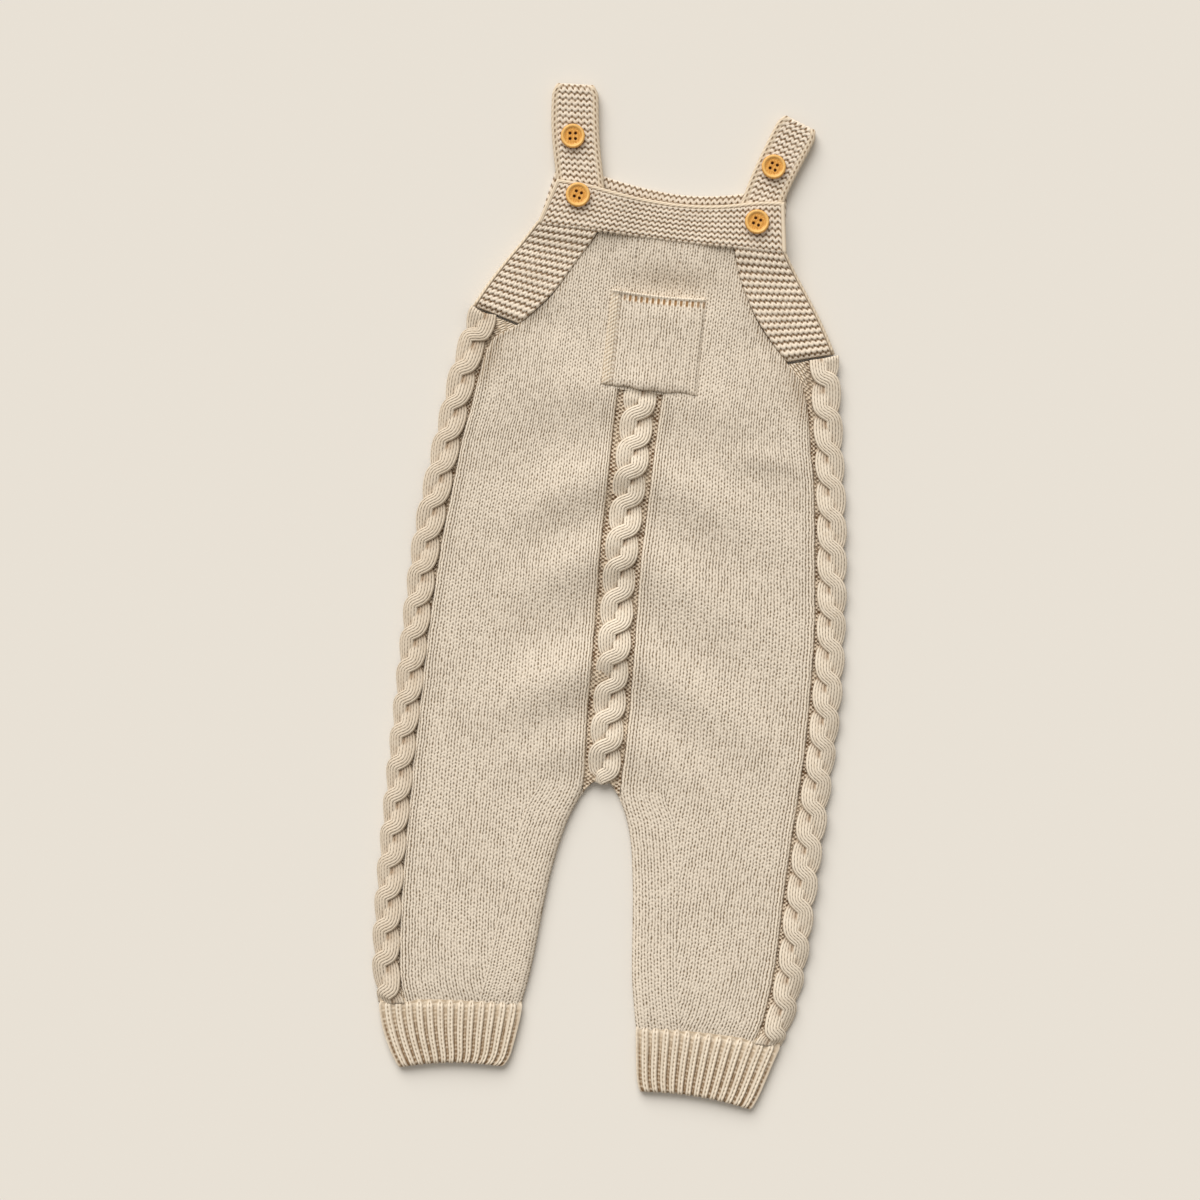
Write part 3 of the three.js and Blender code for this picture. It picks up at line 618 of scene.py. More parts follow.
def rib_knit(name):
    """Single rib: a smooth column of two legs with fine dots of painted shade between
    them, then a hollow in painted shade that is darker towards the hem, with a faint
    bar on each row."""
    k = Knit(name)
    u = k.u + k.sway(0.25, 0.12, 9.0, 0.12)
    v = k.v + k.sway(0.3, 0.3, 1.3, 0.5)
    across = u.fold()  # 0 on a rib's middle, 1 in a hollow
    down = k.attribute("from_top")
    rib = (1.0 - across.rise(0.58, 0.78)) * (down - across * 4.0).rise(-0.8, 1.2)
    dots = v.swell().rise(0.2, 0.9)
    split = (1.0 - across.rise(0.0, 0.2)) * (0.45 + dots * 0.55)
    leg = (1.0 - split * 0.75) * (1.0 - across.rise(0.35, 0.62) * 0.35)
    strand = (v + across * 1.2).wave() * 0.06
    height = rib * (leg * 0.85 + 0.1 + strand)
    bars = (v + u * 0.5).swell() * k.noise(2.5, 0.9, 3.0).rise(0.3, 0.6)
    on_rib = leg.rise(0.2, 0.95).mix(linear(152, 130, 104), linear(228, 214, 194))
    hollow = down.rise(6.0, CUFF_LENGTH)
    hollow = hollow.mix(linear(184, 165, 140), linear(146, 120, 90))
    in_hollow = (bars * 0.85).mix(hollow, linear(226, 211, 189))
    # Painted shade along both sides of each hollow, under the ribs' edges.
    side = across.rise(0.62, 0.76) * (1.0 - across.rise(0.8, 0.95)) * (1.0 - bars * 0.7)
    side = side * down.rise(4.0, 16.0)
    in_hollow = in_hollow.tint(side * 0.95, 118, 91, 62)
    first_row = down.rise(2.0, 2.8) * (1.0 - down.rise(3.6, 4.6))
    in_hollow = in_hollow.tint(first_row * 0.45, 228, 214, 194)
    colour = rib.mix(in_hollow, on_rib)
    fleck = k.speckle(u * 4.0, v, 2.0)
    colour = colour.tint(fleck.rise(0.4, 1.0) * 0.2, 178, 154, 124)
    return k.finish(colour, height + bars * (1.0 - rib) * 0.25, 0.45)


def cable_knit(name):
    """A cable's strand: three columns, six legs, of which mostly the long lines of
    painted shade between the legs show. It is darker, with painted shade, where it is
    tucked under the other strand."""
    k = Knit(name)
    u = k.u + k.sway(0.4, 0.1, 3.3, 0.22)
    v = k.v + k.sway(0.3, 0.3, 5.3, 0.6)
    across = u.fold()
    leg = (across * (1.0 - across) * 4.0) ** 0.6
    stripe = (v + across * 0.5).swell()
    line = 1.0 - leg.rise(0.05, 0.75)
    uneven = k.noise(0.9, 0.16, 8.0).rise(0.3, 0.7) * 0.4 + 0.6
    dark = line * (1.0 - stripe * 0.65) * uneven
    height = 1.0 - dark * 0.8
    colour = dark.mix(linear(227, 214, 195), linear(118, 90, 60))
    fleck = k.speckle(u * 2.0, v, 3.0) * 0.5 + k.noise(1.0, 0.4, 2.0) * 0.5
    colour = colour.tint(fleck.rise(0.4, 0.9) * 0.25, 184, 163, 135)
    tuck_shade = k.attribute("tuck_shade")
    colour = colour.tint(tuck_shade * 0.85, 140, 105, 68)
    # Painted shade over the side cables.
    colour = colour.tint(k.attribute("soil") * 0.5, 160, 134, 103)
    return k.finish(colour, height, 0.7)


def ditch_knit(name):
    """The purl ground beside a cable: holes of painted shade in uneven rows between
    light bars. Where the attribute open is 1 it shows as plain columns, with painted
    shade between them."""
    k = Knit(name)
    u = k.u + k.sway(0.8, 0.5, 7.4, 0.5)
    v = k.v + k.sway(0.8, 0.4, 4.4, 0.8)
    cross = (v.wave() * (u * 0.8).wave()) * 0.5 + 0.5
    broken = k.noise(1.1, 0.6, 6.0)
    tone = (cross * 0.5 + broken * 0.8).rise(0.44, 0.82)
    colour = tone.mix(linear(98, 70, 42), linear(222, 204, 180))
    pale = k.noise(0.5, 0.12, 19.0).rise(0.45, 0.62)
    colour = colour.tint(pale * 0.3, 212, 194, 168)
    line = (u * 1.6).swell().rise(0.1, 0.6)
    columns = line * (0.75 + cross * 0.25)
    columns = columns.mix(linear(150, 126, 96), linear(232, 217, 196))
    colour = k.attribute("open").mix(colour, columns)
    return k.finish(colour, tone, 0.5)


def turned_wood(name):
    """Light wood with fine curved grain, satin, with a painted highlight on the rim's
    crest and painted shade in the sewing holes.
    """
    k = Knit(name)
    bend = k.noise(0.9, 0.9, 1.7)
    line = ((k.u * 0.55 + bend * 1.6) * 2.4).swell()
    fine = k.noise(0.8, 9.0, 2.9, 4.0)
    tone = line * 0.45 + fine * 0.55
    face = tone.rise(0.2, 0.8).mix(linear(197, 134, 55), linear(228, 169, 87))
    # Painted highlight on the rim's crest and painted shade in the sewing holes.
    rim = k.attribute("rim")
    colour = (rim * 0.65).mix(face, linear(246, 202, 126))
    hole = k.attribute("hole")
    colour = colour.tint(hole, 104, 60, 26)
    k.surface.inputs["Coat Weight"].default_value = 0.25
    k.surface.inputs["Coat Roughness"].default_value = 0.25
    return k.finish(colour, tone, 0.05, rough=0.42)


JERSEY = plain_knit("plain_knit")
POCKET = plain_knit("pocket_knit", pocket=True)
BIB = garter_knit("bib_garter", BAR_ZIG, 0.62, BAR_CORD, 2.3, 0.6)
ARM = garter_knit("armhole_garter", ARM_ZIG, 0.55, ARM_CORD, 2.0, 0.15)
STRAP = garter_knit("strap_garter", STRAP_ZIG, 0.6, STRAP_CORD, 1.7, 0.8)
RIB = rib_knit("rib_knit")
CABLE = cable_knit("cable_knit")
DITCH = ditch_knit("ditch_knit")
WOOD = turned_wood("button_wood")


def keep(piece, slot, *nodes):
    """Attaches a piece to the root body and hides the CAD nodes that it stands for. Its
    slot is not used.
    """
    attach(piece, "root")
    if nodes:
        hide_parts(*nodes)


# ---- Plain knitted panels ----
def front_layer(x, up, legs, from_outer, from_inner):
    """The front's upper and lower face and its shading. It sinks beside the cables
    and rounds down at the inseam, legs being 1 where there is one."""
    beside_ditch = 1 - smooth((up - ARMPIT - 26) / 8)
    cabled = (1 - legs) * (1 - smooth((up - CABLE_TOP) / 3))
    z = front_height(x, up)
    z = z + 0.35 * bell((from_outer - 1.7) / 1.4) * beside_ditch
    z = z - (0.6 + 0.5 * beside_ditch) * rounded(from_outer, 1.5)
    z = z + 0.4 * bell((from_inner - 1.6) / 1.4) * cabled
    z = z - 1.6 * rounded(from_inner, 1.4) * cabled
    z = z - 0.75 * (1 - smooth((up - up[:1]) / 7))
    z = z - legs * rounded(from_inner, 6) * (z - MEET - 0.05)
    edge = np.minimum(
        from_outer + 50 * (1 - beside_ditch), from_inner + 50 * (1 - cabled)
    )
    # Painted shade in the gaps where the columns draw together at the armhole seam.
    armhole = smooth((up - ARMPIT) / 6) * (1 - smooth((up - ARMPIT - 62) / 20))
    near_low = bell((up - ARMPIT - 17) / 15)
    gather = armhole * bell(from_outer / 4.5) * (0.35 + 0.65 * near_low)
    # Painted shade beside the armhole seam's lower part and in the hollow above the
    # pocket.
    soil = 0.5 * bell((from_outer - 2) / 9) * near_low
    soil = soil * smooth((up - ARMPIT + 4) / 8) + shade_above_pocket(x, up)
    shading = {
        "edge": edge,
        "gather": np.maximum(gather, gather_shade_under_bib(up)),
        "soil": soil,
    }
    return z, np.maximum(z - CLOTH, MEET + 0.02), shading


def back_layer(legs, from_outer, from_inner):
    """The same for the back, which rounds up at the inseam."""
    z = legs * rounded(from_inner, 6) * (MEET - 0.05)
    shading = {"edge": from_outer + 1.0, "gather": 0 * z, "soil": 0 * z}
    return np.minimum(z + CLOTH, MEET - 0.02), z, shading


def jersey_panel(node, side, is_front):
    """A panel of stocking stitch in two blocks of columns: those that follow the outer
    edge, and the last few, which follow the inseam."""
    sign = SIGN[side]
    hem_in, hem_out = corners(node, sign, -2)
    y = np.linspace(hem_out[1], BIB_FROM, 170)
    slant = (hem_in[1] - hem_out[1]) * (1 - smooth((y - hem_out[1]) / 45))
    inner = edges(node, sign, y + slant, 5 if is_front else 3)[INNER]
    outer = edges(node, sign, y, 2)[OUTER]
    if is_front:
        below_arm = smooth((y - y[0]) / 12) * (1 - smooth((y - ARMPIT + 22) / 10))
        outer = outer + EDGE_SHIFT * below_arm
    width = outer - inner
    at_crotch = np.interp(CROTCH + 6, y, width)
    at_armpit = np.interp(ARMPIT, y, width)
    torso = np.clip((y - CROTCH - 6) / (ARMPIT - CROTCH - 6), 0, 1)
    column = (at_crotch + (at_armpit - at_crotch) * torso) / JERSEY_COLUMNS
    if is_front:
        between = (y > CROTCH + 6) & (y < ARMPIT)
        column = np.where(between, width / JERSEY_COLUMNS, column)
        column = softened(column, 3)
    slope = np.gradient(inner, y)
    steep = np.sqrt(1 + slope**2)
    strip = np.minimum(inner + INSEAM_COLUMNS * column * steep, outer - 1.0)
    along = distances((steep[1:] + steep[:-1]) / 2 * np.diff(y))
    along = along - np.interp(CROTCH, y, along) + CROTCH
    blocks = []
    for start, end, share in (
        (outer, strip, 0.5 - 0.5 * np.cos(np.pi * np.linspace(0, 1, 40))),
        (strip, inner, np.sin(np.pi / 2 * np.linspace(0, 1, 13))),
    ):
        out = start[:, None] + (end - start)[:, None] * share
        reach = (outer[:, None] - out) / width[:, None]
        up = y[:, None] + slant[:, None] * reach
        from_outer = outer[:, None] - out
        from_inner = out - inner[:, None]
        if start is outer:
            above = smooth((y[:, None] - ARMPIT + 40) / 36)
            u = from_outer / column[:, None] * (1 - above)
            u = u + (JERSEY_COLUMNS - from_inner / column[:, None]) * above
            v = up / ROW
        else:
            u = JERSEY_COLUMNS - from_inner / (column * steep)[:, None]
            v = np.broadcast_to((along / ROW)[:, None], u.shape)
        x = sign * out
        legs = 1 - smooth((up - CROTCH + 12) / 14)
        if is_front:
            top, low, extra = front_layer(x, up, legs, from_outer, from_inner)
        else:
            top, low, extra = back_layer(legs, from_outer, from_inner)
        upper, under = xyz(x, up, top), xyz(x, up, low)
        blocks.append((upper, under, np.stack([u, v], -1), extra))
    (*main, on_main), (*strip_grids, on_strip) = blocks
    joined = [np.concatenate([a, b[:, 1:]], 1) for a, b in zip(main, strip_grids)]
    extra = {
        name: np.concatenate([on_main[name], on_strip[name][:, 1:]], 1)
        for name in on_main
    }
    seam = (main[0].shape[1] - 1, strip_grids[2][:, 0])
    return layered(f"{node}_knit", *joined, JERSEY, extra, seam)


for side in SIGN:
    for node, is_front in ((f"front_{side}", True), (f"back_{side}", False)):
        keep(jersey_panel(node, side, is_front), "plain_knit", node)


# ---- The centre cable's panel ----
def centre_ground():
    """The strip under the centre cable, with a ditch on each side. Its lower edge
    arches over the crotch."""
    share = np.linspace(-1, 1, 33)
    rise = np.linspace(0, 1, 150)[:, None]
    foot = CROTCH - CROTCH_DROP + 7.5 * (1 - share**2)
    up = foot + (CABLE_TOP + 2 - foot) * rise
    out = (half_middle(up) + 0.5) * share
    x = middle(up) + out
    depth = 1.5 - 1.1 * smooth((7.6 - np.abs(out)) / 2.5)
    z = front_height(x, up) - depth
    uv = np.stack([out / 2.4, up / ROW], -1)
    under = np.maximum(z - 1.2, 2.1)
    return layered(
        "centre_ditches", xyz(x, up, z), xyz(x, up, under), uv, DITCH, {"open": 0 * x}
    )


def centre_field():
    """The plain knitting between the pocket and the bib."""
    share = np.linspace(-1, 1, 25)[None, :]
    up = np.linspace(CABLE_TOP + 0.5, BIB_FROM, 45)[:, None] + 0 * share
    out = (half_middle(up) + 0.7) * share
    x = middle(up) + out
    z = front_height(x, up) - 0.03
    columns = JERSEY_COLUMNS + 4 - 4 * np.abs(out) / half_middle(up)
    uv = np.stack([columns, up / ROW], -1)
    extra = {
        "edge": 50 + 0 * x,
        "gather": gather_shade_under_bib(up),
        "soil": shade_above_pocket(x, up),
    }
    upper, lower = xyz(x, up, z), xyz(x, up, z - CLOTH)
    return layered("centre_field", upper, lower, uv, JERSEY, extra)


def strand(name, base, out, section, phase, pitch, sway, wide_half, fade, soil):
    """One strand of a rope cable. Along the cable an angle a goes half a turn each
    crossing. The strand's middle lies w = sway * tanh(HOOK cos a) / tanh HOOK across
    and CROSS_RISE sin a up, and the strand is narrowest where it crosses. Its section
    is a slab with round edges and ridges on top. base and out are (points, 3) along
    the cable, and section(across) gives the place out, the drop and the lean there.
    phase and fade are values along the cable."""
    steps = np.linalg.norm(np.diff(base, axis=0), axis=1)
    length = distances(steps)

    def middle_at(place):
        angle = np.pi * place / pitch + np.interp(place, length, phase)
        slope = HOOK * np.sin(angle) * np.pi / pitch / np.tanh(HOOK)
        slope = -sway * slope / np.cosh(HOOK * np.cos(angle)) ** 2
        w = sway * np.tanh(HOOK * np.cos(angle)) / np.tanh(HOOK)
        half = wide_half - CROSS_SLIM * np.sin(angle) ** 2
        return angle, w, slope, np.sqrt(1 + slope**2), half

    angle, w, slope, norm, half = (v[:, None] for v in middle_at(length))
    on_top, below = np.linspace(1, -1, 37), np.linspace(-1, 1, 13)[1:-1]
    wide = np.concatenate([on_top, below])[None, :]
    wide = np.sign(wide) * (1 - (1 - np.abs(wide)) ** 1.35)
    over = np.arange(wide.size)[None, :] < on_top.size
    slab = np.clip(1 - np.abs(wide) ** 2.4, 0, 1) ** 0.5
    ridge = 0.5 - 0.5 * np.cos(2 * np.pi * 3 * wide)
    across = w + half * wide / norm
    back = -half * wide * slope / norm
    top = STRAND_TOP * slab + COLUMN_RIDGE * ridge * np.minimum(slab * 2, 1)
    high = np.where(over, top, -STRAND_UNDER * slab)
    high = (high + CROSS_RISE * np.sin(angle)) * fade[:, None]
    forward = np.gradient(base, length, axis=0)
    plan, drop, lean = section(across)
    rings = (
        base[:, None]
        + (plan + high * np.sin(lean))[..., None] * out[:, None]
        + (high * np.cos(lean) - drop)[..., None] * UP
        + back[..., None] * forward[:, None]
    )
    # How far each point is tucked under the edge of the other strand, which sets the
    # painted shade there.
    angle_here, w_here, _, norm_here, half_here = middle_at(length[:, None] + back)
    outside = np.abs(across + w_here) / norm_here - half_here
    top_end = 0.25 + 0.75 * smooth(0.5 - 2.5 * np.cos(angle_here))
    near = np.clip(outside, 0, 9)
    tuck_shade = smooth(-np.sin(angle_here) * 2.2) * top_end
    tuck_shade = tuck_shade * (0.3 * bell(near / 1.1) + 0.5 * bell(near / 3.0))
    run = distances(norm[1:, 0] * steps)
    u = np.broadcast_to(1.5 - 1.5 * wide, across.shape)
    uv = np.stack([u, np.broadcast_to((run / 2.3)[:, None], across.shape)], -1)
    attributes = {"tuck_shade": np.minimum(tuck_shade, 1), "soil": soil + 0 * tuck_shade}
    return tube(name, rings, uv, CABLE, attributes)


def rope(name, base, out, section, phase, *rest):
    """Both strands of a cable, half a turn apart."""
    return [
        strand(f"{name}_{k + 1}", base, out, section, phase + k * np.pi, *rest)
        for k in range(2)
    ]


def centre_cable():
    """Both strands of the centre cable, from the crotch to under the pocket."""
    y = np.arange(CROTCH - 1.5, CABLE_TOP + 2.5, 0.8)
    x = middle(y) + 0.1
    z = front_height(x, y) - 0.2
    phase = CENTRE_PHASE * (1 - smooth((y + 30) / 80))
    base = xyz(x, y, z)
    lean = np.gradient(x, y)
    out = xyz(-1 + 0 * y, lean, 0 * y)
    fade = 0.3 + 0.7 * smooth((y - y[0]) / 9)
    fade = fade * (0.4 + 0.6 * smooth((CABLE_TOP - y) / 5))
    slim = (0.45 + 0.55 * smooth((y - y[0]) / 7))[:, None]

    def section(across):
        return across * slim, 1.1 * (across / 8) ** 2, 0.25 * across / 8

    return rope(
        "centre_strand", base, out, section, phase,
        CENTRE_PITCH, CENTRE_SWAY, CENTRE_HALF, fade, 0.0,
    )


keep(centre_ground(), "cable_knit", "front_centre_cable")
keep(centre_field(), "plain_knit")
for piece in centre_cable():
    keep(piece, "cable_knit")


# ---- The side cables' panels ----
def side_lines(side, count):
    """Rim and seam of a side panel, as (count, 2) outward and Y: the silhouette and
    the line where the panel meets the front."""
    node, sign = f"side_cable_{side}", SIGN[side]
    seam_low, rim_low = corners(node, sign, -2)
    seam_high, rim_high = corners(node, sign, 2)
    rim_y = np.linspace(rim_low[1], rim_high[1], count)
    run = (rim_y - rim_low[1]) / (rim_high[1] - rim_low[1])
    seam_y = (
        rim_y
        + (seam_low[1] - rim_low[1]) * (1 - smooth(run / 0.06))
        + (seam_high[1] - rim_high[1]) * smooth((run - 0.85) / 0.15)
    )
    rim = edge_line(node, sign, rim_y, 9, OUTER)
    return rim, edge_line(node, sign, seam_y, 5, INNER)


# A side panel's section: distance in from the rim as a share of the width seen from
# above, and height. Past the rim the distance is in millimetres.
OVER = [
    (1.04, 3.7), (0.97, 3.6), (0.86, 3.5), (0.74, 3.9), (0.5, 4.6), (0.26, 4.3),
    (0.14, 3.6),
]
UNDER = [(1.3, 2.4), (1.7, 1.3), (3.0, 0.4), (5.0, 0.05), (8.0, 0.0)]


def cable_span(width):
    """How wide the cable of a side panel is, spread flat, from the panel's width as
    seen."""
    return np.clip(width * 1.04 + 0.4, 13.2, 15.2)


def side_ground(side):
    """The purl ground of a side panel, wrapped round the side from front to back."""
    sign = SIGN[side]
    rim, seam = side_lines(side, 170)
    inward = seam - rim
    width = np.linalg.norm(inward, axis=1)
    inward = inward / width[:, None]
    inset = np.array([d for d, _ in OVER] + [0] * len(UNDER))[None, :] * width[:, None]
    inset[:, len(OVER) :] += [d for d, _ in UNDER]
    height = np.array([z for _, z in OVER + UNDER])
    stations = np.linspace(0, len(height) - 1, 37)
    whole = np.arange(len(height))
    inset = np.stack([np.interp(stations, whole, row) for row in inset])
    inset = np.stack([softened(row, 1.2) for row in inset])
    height = softened(np.interp(stations, whole, height), 1.2)
    plan = rim[:, None] + inward[:, None] * inset[..., None]
    # Where the panel is wider than its cable the rest lies open as plain columns.
    covered = np.minimum(width, cable_span(width) + 0.5)
    wide = smooth((width - covered - 1.5) / 3)[:, None]
    open_knit = wide * smooth((inset - covered[:, None] - 0.3) / 1.0)
    run = (rim[:, 1] - rim[0, 1])[:, None]
    open_knit = np.maximum(open_knit, 1 - smooth((run - 5) / 4)) * (inset > 1.5)
    z = np.broadcast_to(height, inset.shape) + 1.0 * open_knit * smooth(run / 5)
    sunk = 0.8 * (1 - smooth(run / 6)) * smooth((z - MEET) / 0.8)
    z = np.where(z > MEET, z - sunk, z)
    outer = xyz(sign * plan[..., 0], plan[..., 1], z)
    on_top = z > MEET
    deeper = plan + inward[:, None] * (1.3 * bell((inset - 1.0) / 2.5))[..., None]
    lining_z = np.where(
        on_top, np.maximum(z - 1.3, MEET + 0.1), np.minimum(z + 1.3, MEET - 0.1)
    )
    lining = xyz(sign * deeper[..., 0], deeper[..., 1], lining_z)
    u = np.hypot(np.diff(inset, axis=1, prepend=inset[:, :1]), 0.4)
    u = np.cumsum(u, axis=1) / 2.6
    uv = np.stack([u, plan[..., 1] / ROW], -1)
    return layered(f"side_ditch_{side}", outer, lining, uv, DITCH, {"open": open_knit})


def side_strands(side):
    """Both strands of a side cable. Their section runs flat from the seam and then
    bends down over the fold of the side, as far as the panel's width asks."""
    sign = SIGN[side]
    rim, seam = side_lines(side, 450)
    inward = seam - rim
    width = np.linalg.norm(inward, axis=1)
    inward = inward / width[:, None]
    span = cable_span(width)
    seen = np.minimum(width, span + 0.5) - 0.4
    flat = 4.0
    # sin(bend) / bend is the seen share of the stretch that bends.
    share = np.clip((seen - flat) / (span - flat), 0.80, 0.995)
    bend = np.sqrt(6 * (1 - share)) * (1 + 0.16 * (1 - share))
    curl = (bend / (span - flat))[:, None]
    shift = SIDE_SHIFT[side] * smooth((rim[:, 1] - rim[0, 1]) / 12)
    plan_base = rim + inward * (np.minimum(width, span + 0.5) - shift)[:, None]
    phase = SIDE_PHASE[side] - SIDE_SLIP[side] * smooth((rim[:, 1] + 10) / 110)
    out = xyz(-sign * inward[:, 0], -inward[:, 1], 0 * width)
    base = xyz(sign * plan_base[:, 0], plan_base[:, 1], 4.9 + 0 * width)

    def section(across):
        from_seam = across + span[:, None] / 2
        lean = np.clip(from_seam - flat, 0, None) * curl
        plan = np.minimum(from_seam, flat) + np.sin(lean) / curl
        return plan, (1 - np.cos(lean)) / curl, lean

    run = rim[:, 1] - rim[0, 1]
    fade = (0.05 + 0.75 * smooth(run / 5)) * smooth((run[-1] - run) / 4 + 0.5)
    return rope(
        f"side_strand_{side}", base, out, section, phase,
        SIDE_PITCH, SIDE_SWAY, SIDE_HALF, fade, SIDE_PAINTED_SHADE[side],
    )


for side in SIGN:
    keep(side_ground(side), "cable_knit", f"side_cable_{side}")
    for piece in side_strands(side):
        keep(piece, "cable_knit")


# ---- Garter bands ----
def zigzag(u):
    """A zigzag of period 1, 1 at whole numbers and -1 half way."""
    return 1 - 4 * np.abs((u + 0.5) % 1 - 0.5)


def garter_section(span, run, stitch, ridge, turned, zig, cord, cords, relief,
                   thick, step, extra_edge=None):
    """A garter band's section: a slab with round edges whose zigzag ridges stand off
    both faces, and a rounded cord along the edges named in cords. span is its width
    at each place run along it. Where turned is true the ridges run along it, ridge of
    them, else across it, ridge millimetres each. Gives the share across, the height
    off the middle of the band, u, v and the distance from the corded edges."""
    count = int(span.max() / step)
    share = np.linspace(0, 1, count)[1:-1]
    ends = np.array([0, 0.12, 0.4]) / span.max()
    share = np.concatenate([ends, share, 1 - ends[::-1]])
    face = np.concatenate([share, share[-2:0:-1]])[None, :]
    above = np.concatenate([np.ones(len(share)), -np.ones(len(share) - 2)])[None, :]
    mm = face * span[:, None]
    rest = span[:, None] - mm
    rim = np.minimum(mm, rest)
    from_edge = 99 + 0 * mm
    if cords[0]:
        from_edge = np.minimum(from_edge, mm)
    if cords[1]:
        from_edge = np.minimum(from_edge, rest)
    if extra_edge is not None:
        from_edge = np.minimum(from_edge, extra_edge[:, None])
    lengthwise = run[:, None] + 0 * mm
    if turned:
        u, v = lengthwise / stitch, mm / span[:, None] * ridge
    else:
        u, v = mm / stitch, lengthwise / ridge
    ridges = (0.5 + 0.5 * np.cos(2 * np.pi * (v - zig * zigzag(u)))) ** 0.7
    beads = 0.85 + 0.15 * np.cos(4 * np.pi * u)
    corded = 1 - smooth((from_edge - cord + 0.3) / 0.6)
    roll = np.abs(np.sin(np.pi * np.clip(from_edge / cord, 0, 1))) * 0.5 * relief
    bumps = ridges * beads * relief * (1 - corded) + (0.3 * relief + roll) * corded
    body = np.sqrt(1 - (1 - np.clip(rim / (thick / 2), 0, 1)) ** 2)
    off = body * thick / 2 + (bumps - relief * 0.5) * np.clip(rim / 1.0, 0, 1)
    return face, above * off, u, v, from_edge


def garter_tube(name, rings, u, v, from_edge, run, material):
    """A tube with a garter material's coordinates. Along its cords the dots follow
    run."""
    along = (run / GARTER_STITCH)[:, None] + 0 * u
    attributes = {"from_edge": from_edge, "along": along}
    return tube(name, rings, np.stack([u, v], -1), material, attributes)


def band(name, start, end, height, zig, cord, cords, material, relief, turned,
         stitch, ridge, step, tooth=0.0, dip=0.0):
    """A garter band whose sections cross from the edge start to the edge end, both
    (points, 2), with stitch, ridge and turned as in garter_section. Its start edge is
    toothed by tooth, and its first end is bent down by dip."""
    lengths = np.linalg.norm(np.diff((start + end) / 2, axis=0), axis=1)
    along = distances(lengths)
    inner = np.arange(step, along[-1] - step, step)
    ends = np.array([0, 0.12, 0.4, 0.8]) * min(1, step / 0.42)
    run = np.unique(np.concatenate([ends, inner[inner > 0.9], along[-1] - ends]))
    start, end = at_places(run, along, start), at_places(run, along, end)
    span = np.linalg.norm(end - start, axis=1)
    rim = np.minimum(run, run[-1] - run)
    face, off, u, v, from_edge = garter_section(
        span, run, stitch, ridge, turned, zig, cord, cords, relief,
        BAND_THICK, step, rim if cords[2] else None,
    )
    closing = np.sqrt(1 - (1 - np.clip(rim / 0.9, 0, 1)) ** 2)[:, None]
    off = off * (0.5 + 0.5 * closing)
    shift = tooth * zigzag(run / stitch)[:, None] * bell(face * span[:, None] / 1.2)
    share = face - shift / span[:, None]
    plan = start[:, None] + (end - start)[:, None] * share[..., None]
    bent = dip * (1 - smooth(run / 3.0))[:, None]
    rings = np.concatenate([plan, (off + height(plan) - bent)[..., None]], -1)
    return garter_tube(name, rings, u, v, from_edge, run, material)


def extended(x, known, values):
    """Values between known places, going on straight past the first and the last."""
    inside = np.clip(x, known[0], known[-1])
    slope = np.where(
        x < known[0],
        (values[4] - values[0]) / (known[4] - known[0]),
        (values[-1] - values[-5]) / (known[-1] - known[-5]),
    )
    return np.interp(inside, known, values) + slope * (x - inside)


def armhole_band(side, face):
    """A band from the side up to the bib, with ridges across it that turn with it."""
    node, sign = f"armhole_{face}_{side}", SIGN[side]
    low_out, low_in = corner(node, sign, 1, -1.2), corner(node, sign, -1, -2.2)
    fine = face == "front"
    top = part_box(node)[1].y / MM + (1.5 if fine else 0)
    out_y, in_y = np.linspace(low_out[1], top, 124), np.linspace(low_in[1], top, 124)
    outer = edge_line(node, sign, out_y, 7, OUTER)
    inner = edge_line(node, sign, in_y, 7, INNER) - (0.5, 0)
    outer[0, 0], inner[0, 0] = low_out[0], low_in[0]
    levels = np.linspace(low_in[1], top, 40)
    tops = softened(cut(node, 1, levels)[1][:, 2], 2)
    if fine:
        tops = tops + 1.4 * smooth((levels - top + 14) / 12)
    length = np.linalg.norm((outer[0] + inner[0] - outer[-1] - inner[-1]) / 2)
    return band(
        f"armhole_{face}_{side}_garter",
        outer * (sign, 1),
        inner * (sign, 1),
        lambda p: np.interp(p[..., 1], levels, tops) - BAND_THICK / 2,
        ARM_ZIG, ARM_CORD, (True, False, False), ARM, 0.8, False,
        ARM_STITCH, length / round(length / ARM_RIDGE),
        step=0.42 if fine else 0.9,
        dip=1.5 if fine else 0.0,
    )


def neck_bar(node, name, corded, step):
    """A band across the garment, whose ridges run along it."""
    low_left, low_right = corners(node, 1, -1.5)
    high_left, high_right = corners(node, 1, 1.5)
    first = max(low_left[0], high_left[0]) + 1
    last = min(low_right[0], high_right[0]) - 1
    places = np.linspace(first, last, 120)
    below, above = cut(node, 0, places)
    low_x = np.linspace(low_left[0], low_right[0], 250)
    high_x = np.linspace(high_left[0], high_right[0], 250)
    low = np.stack([low_x, extended(low_x, places, softened(below[:, 1], 4)) - 0.7], -1)
    high = np.stack([high_x, extended(high_x, places, softened(above[:, 1], 4))], -1)
    tops = softened(above[:, 2], 4)
    return band(
        name, low, high,
        lambda p: np.interp(p[..., 0], places, tops) - BAND_THICK / 2,
        BAR_ZIG, BAR_CORD, (False, corded, corded), BIB, 0.5, True,
        GARTER_STITCH, BAR_RIDGES, step=step, tooth=0.45,
    )


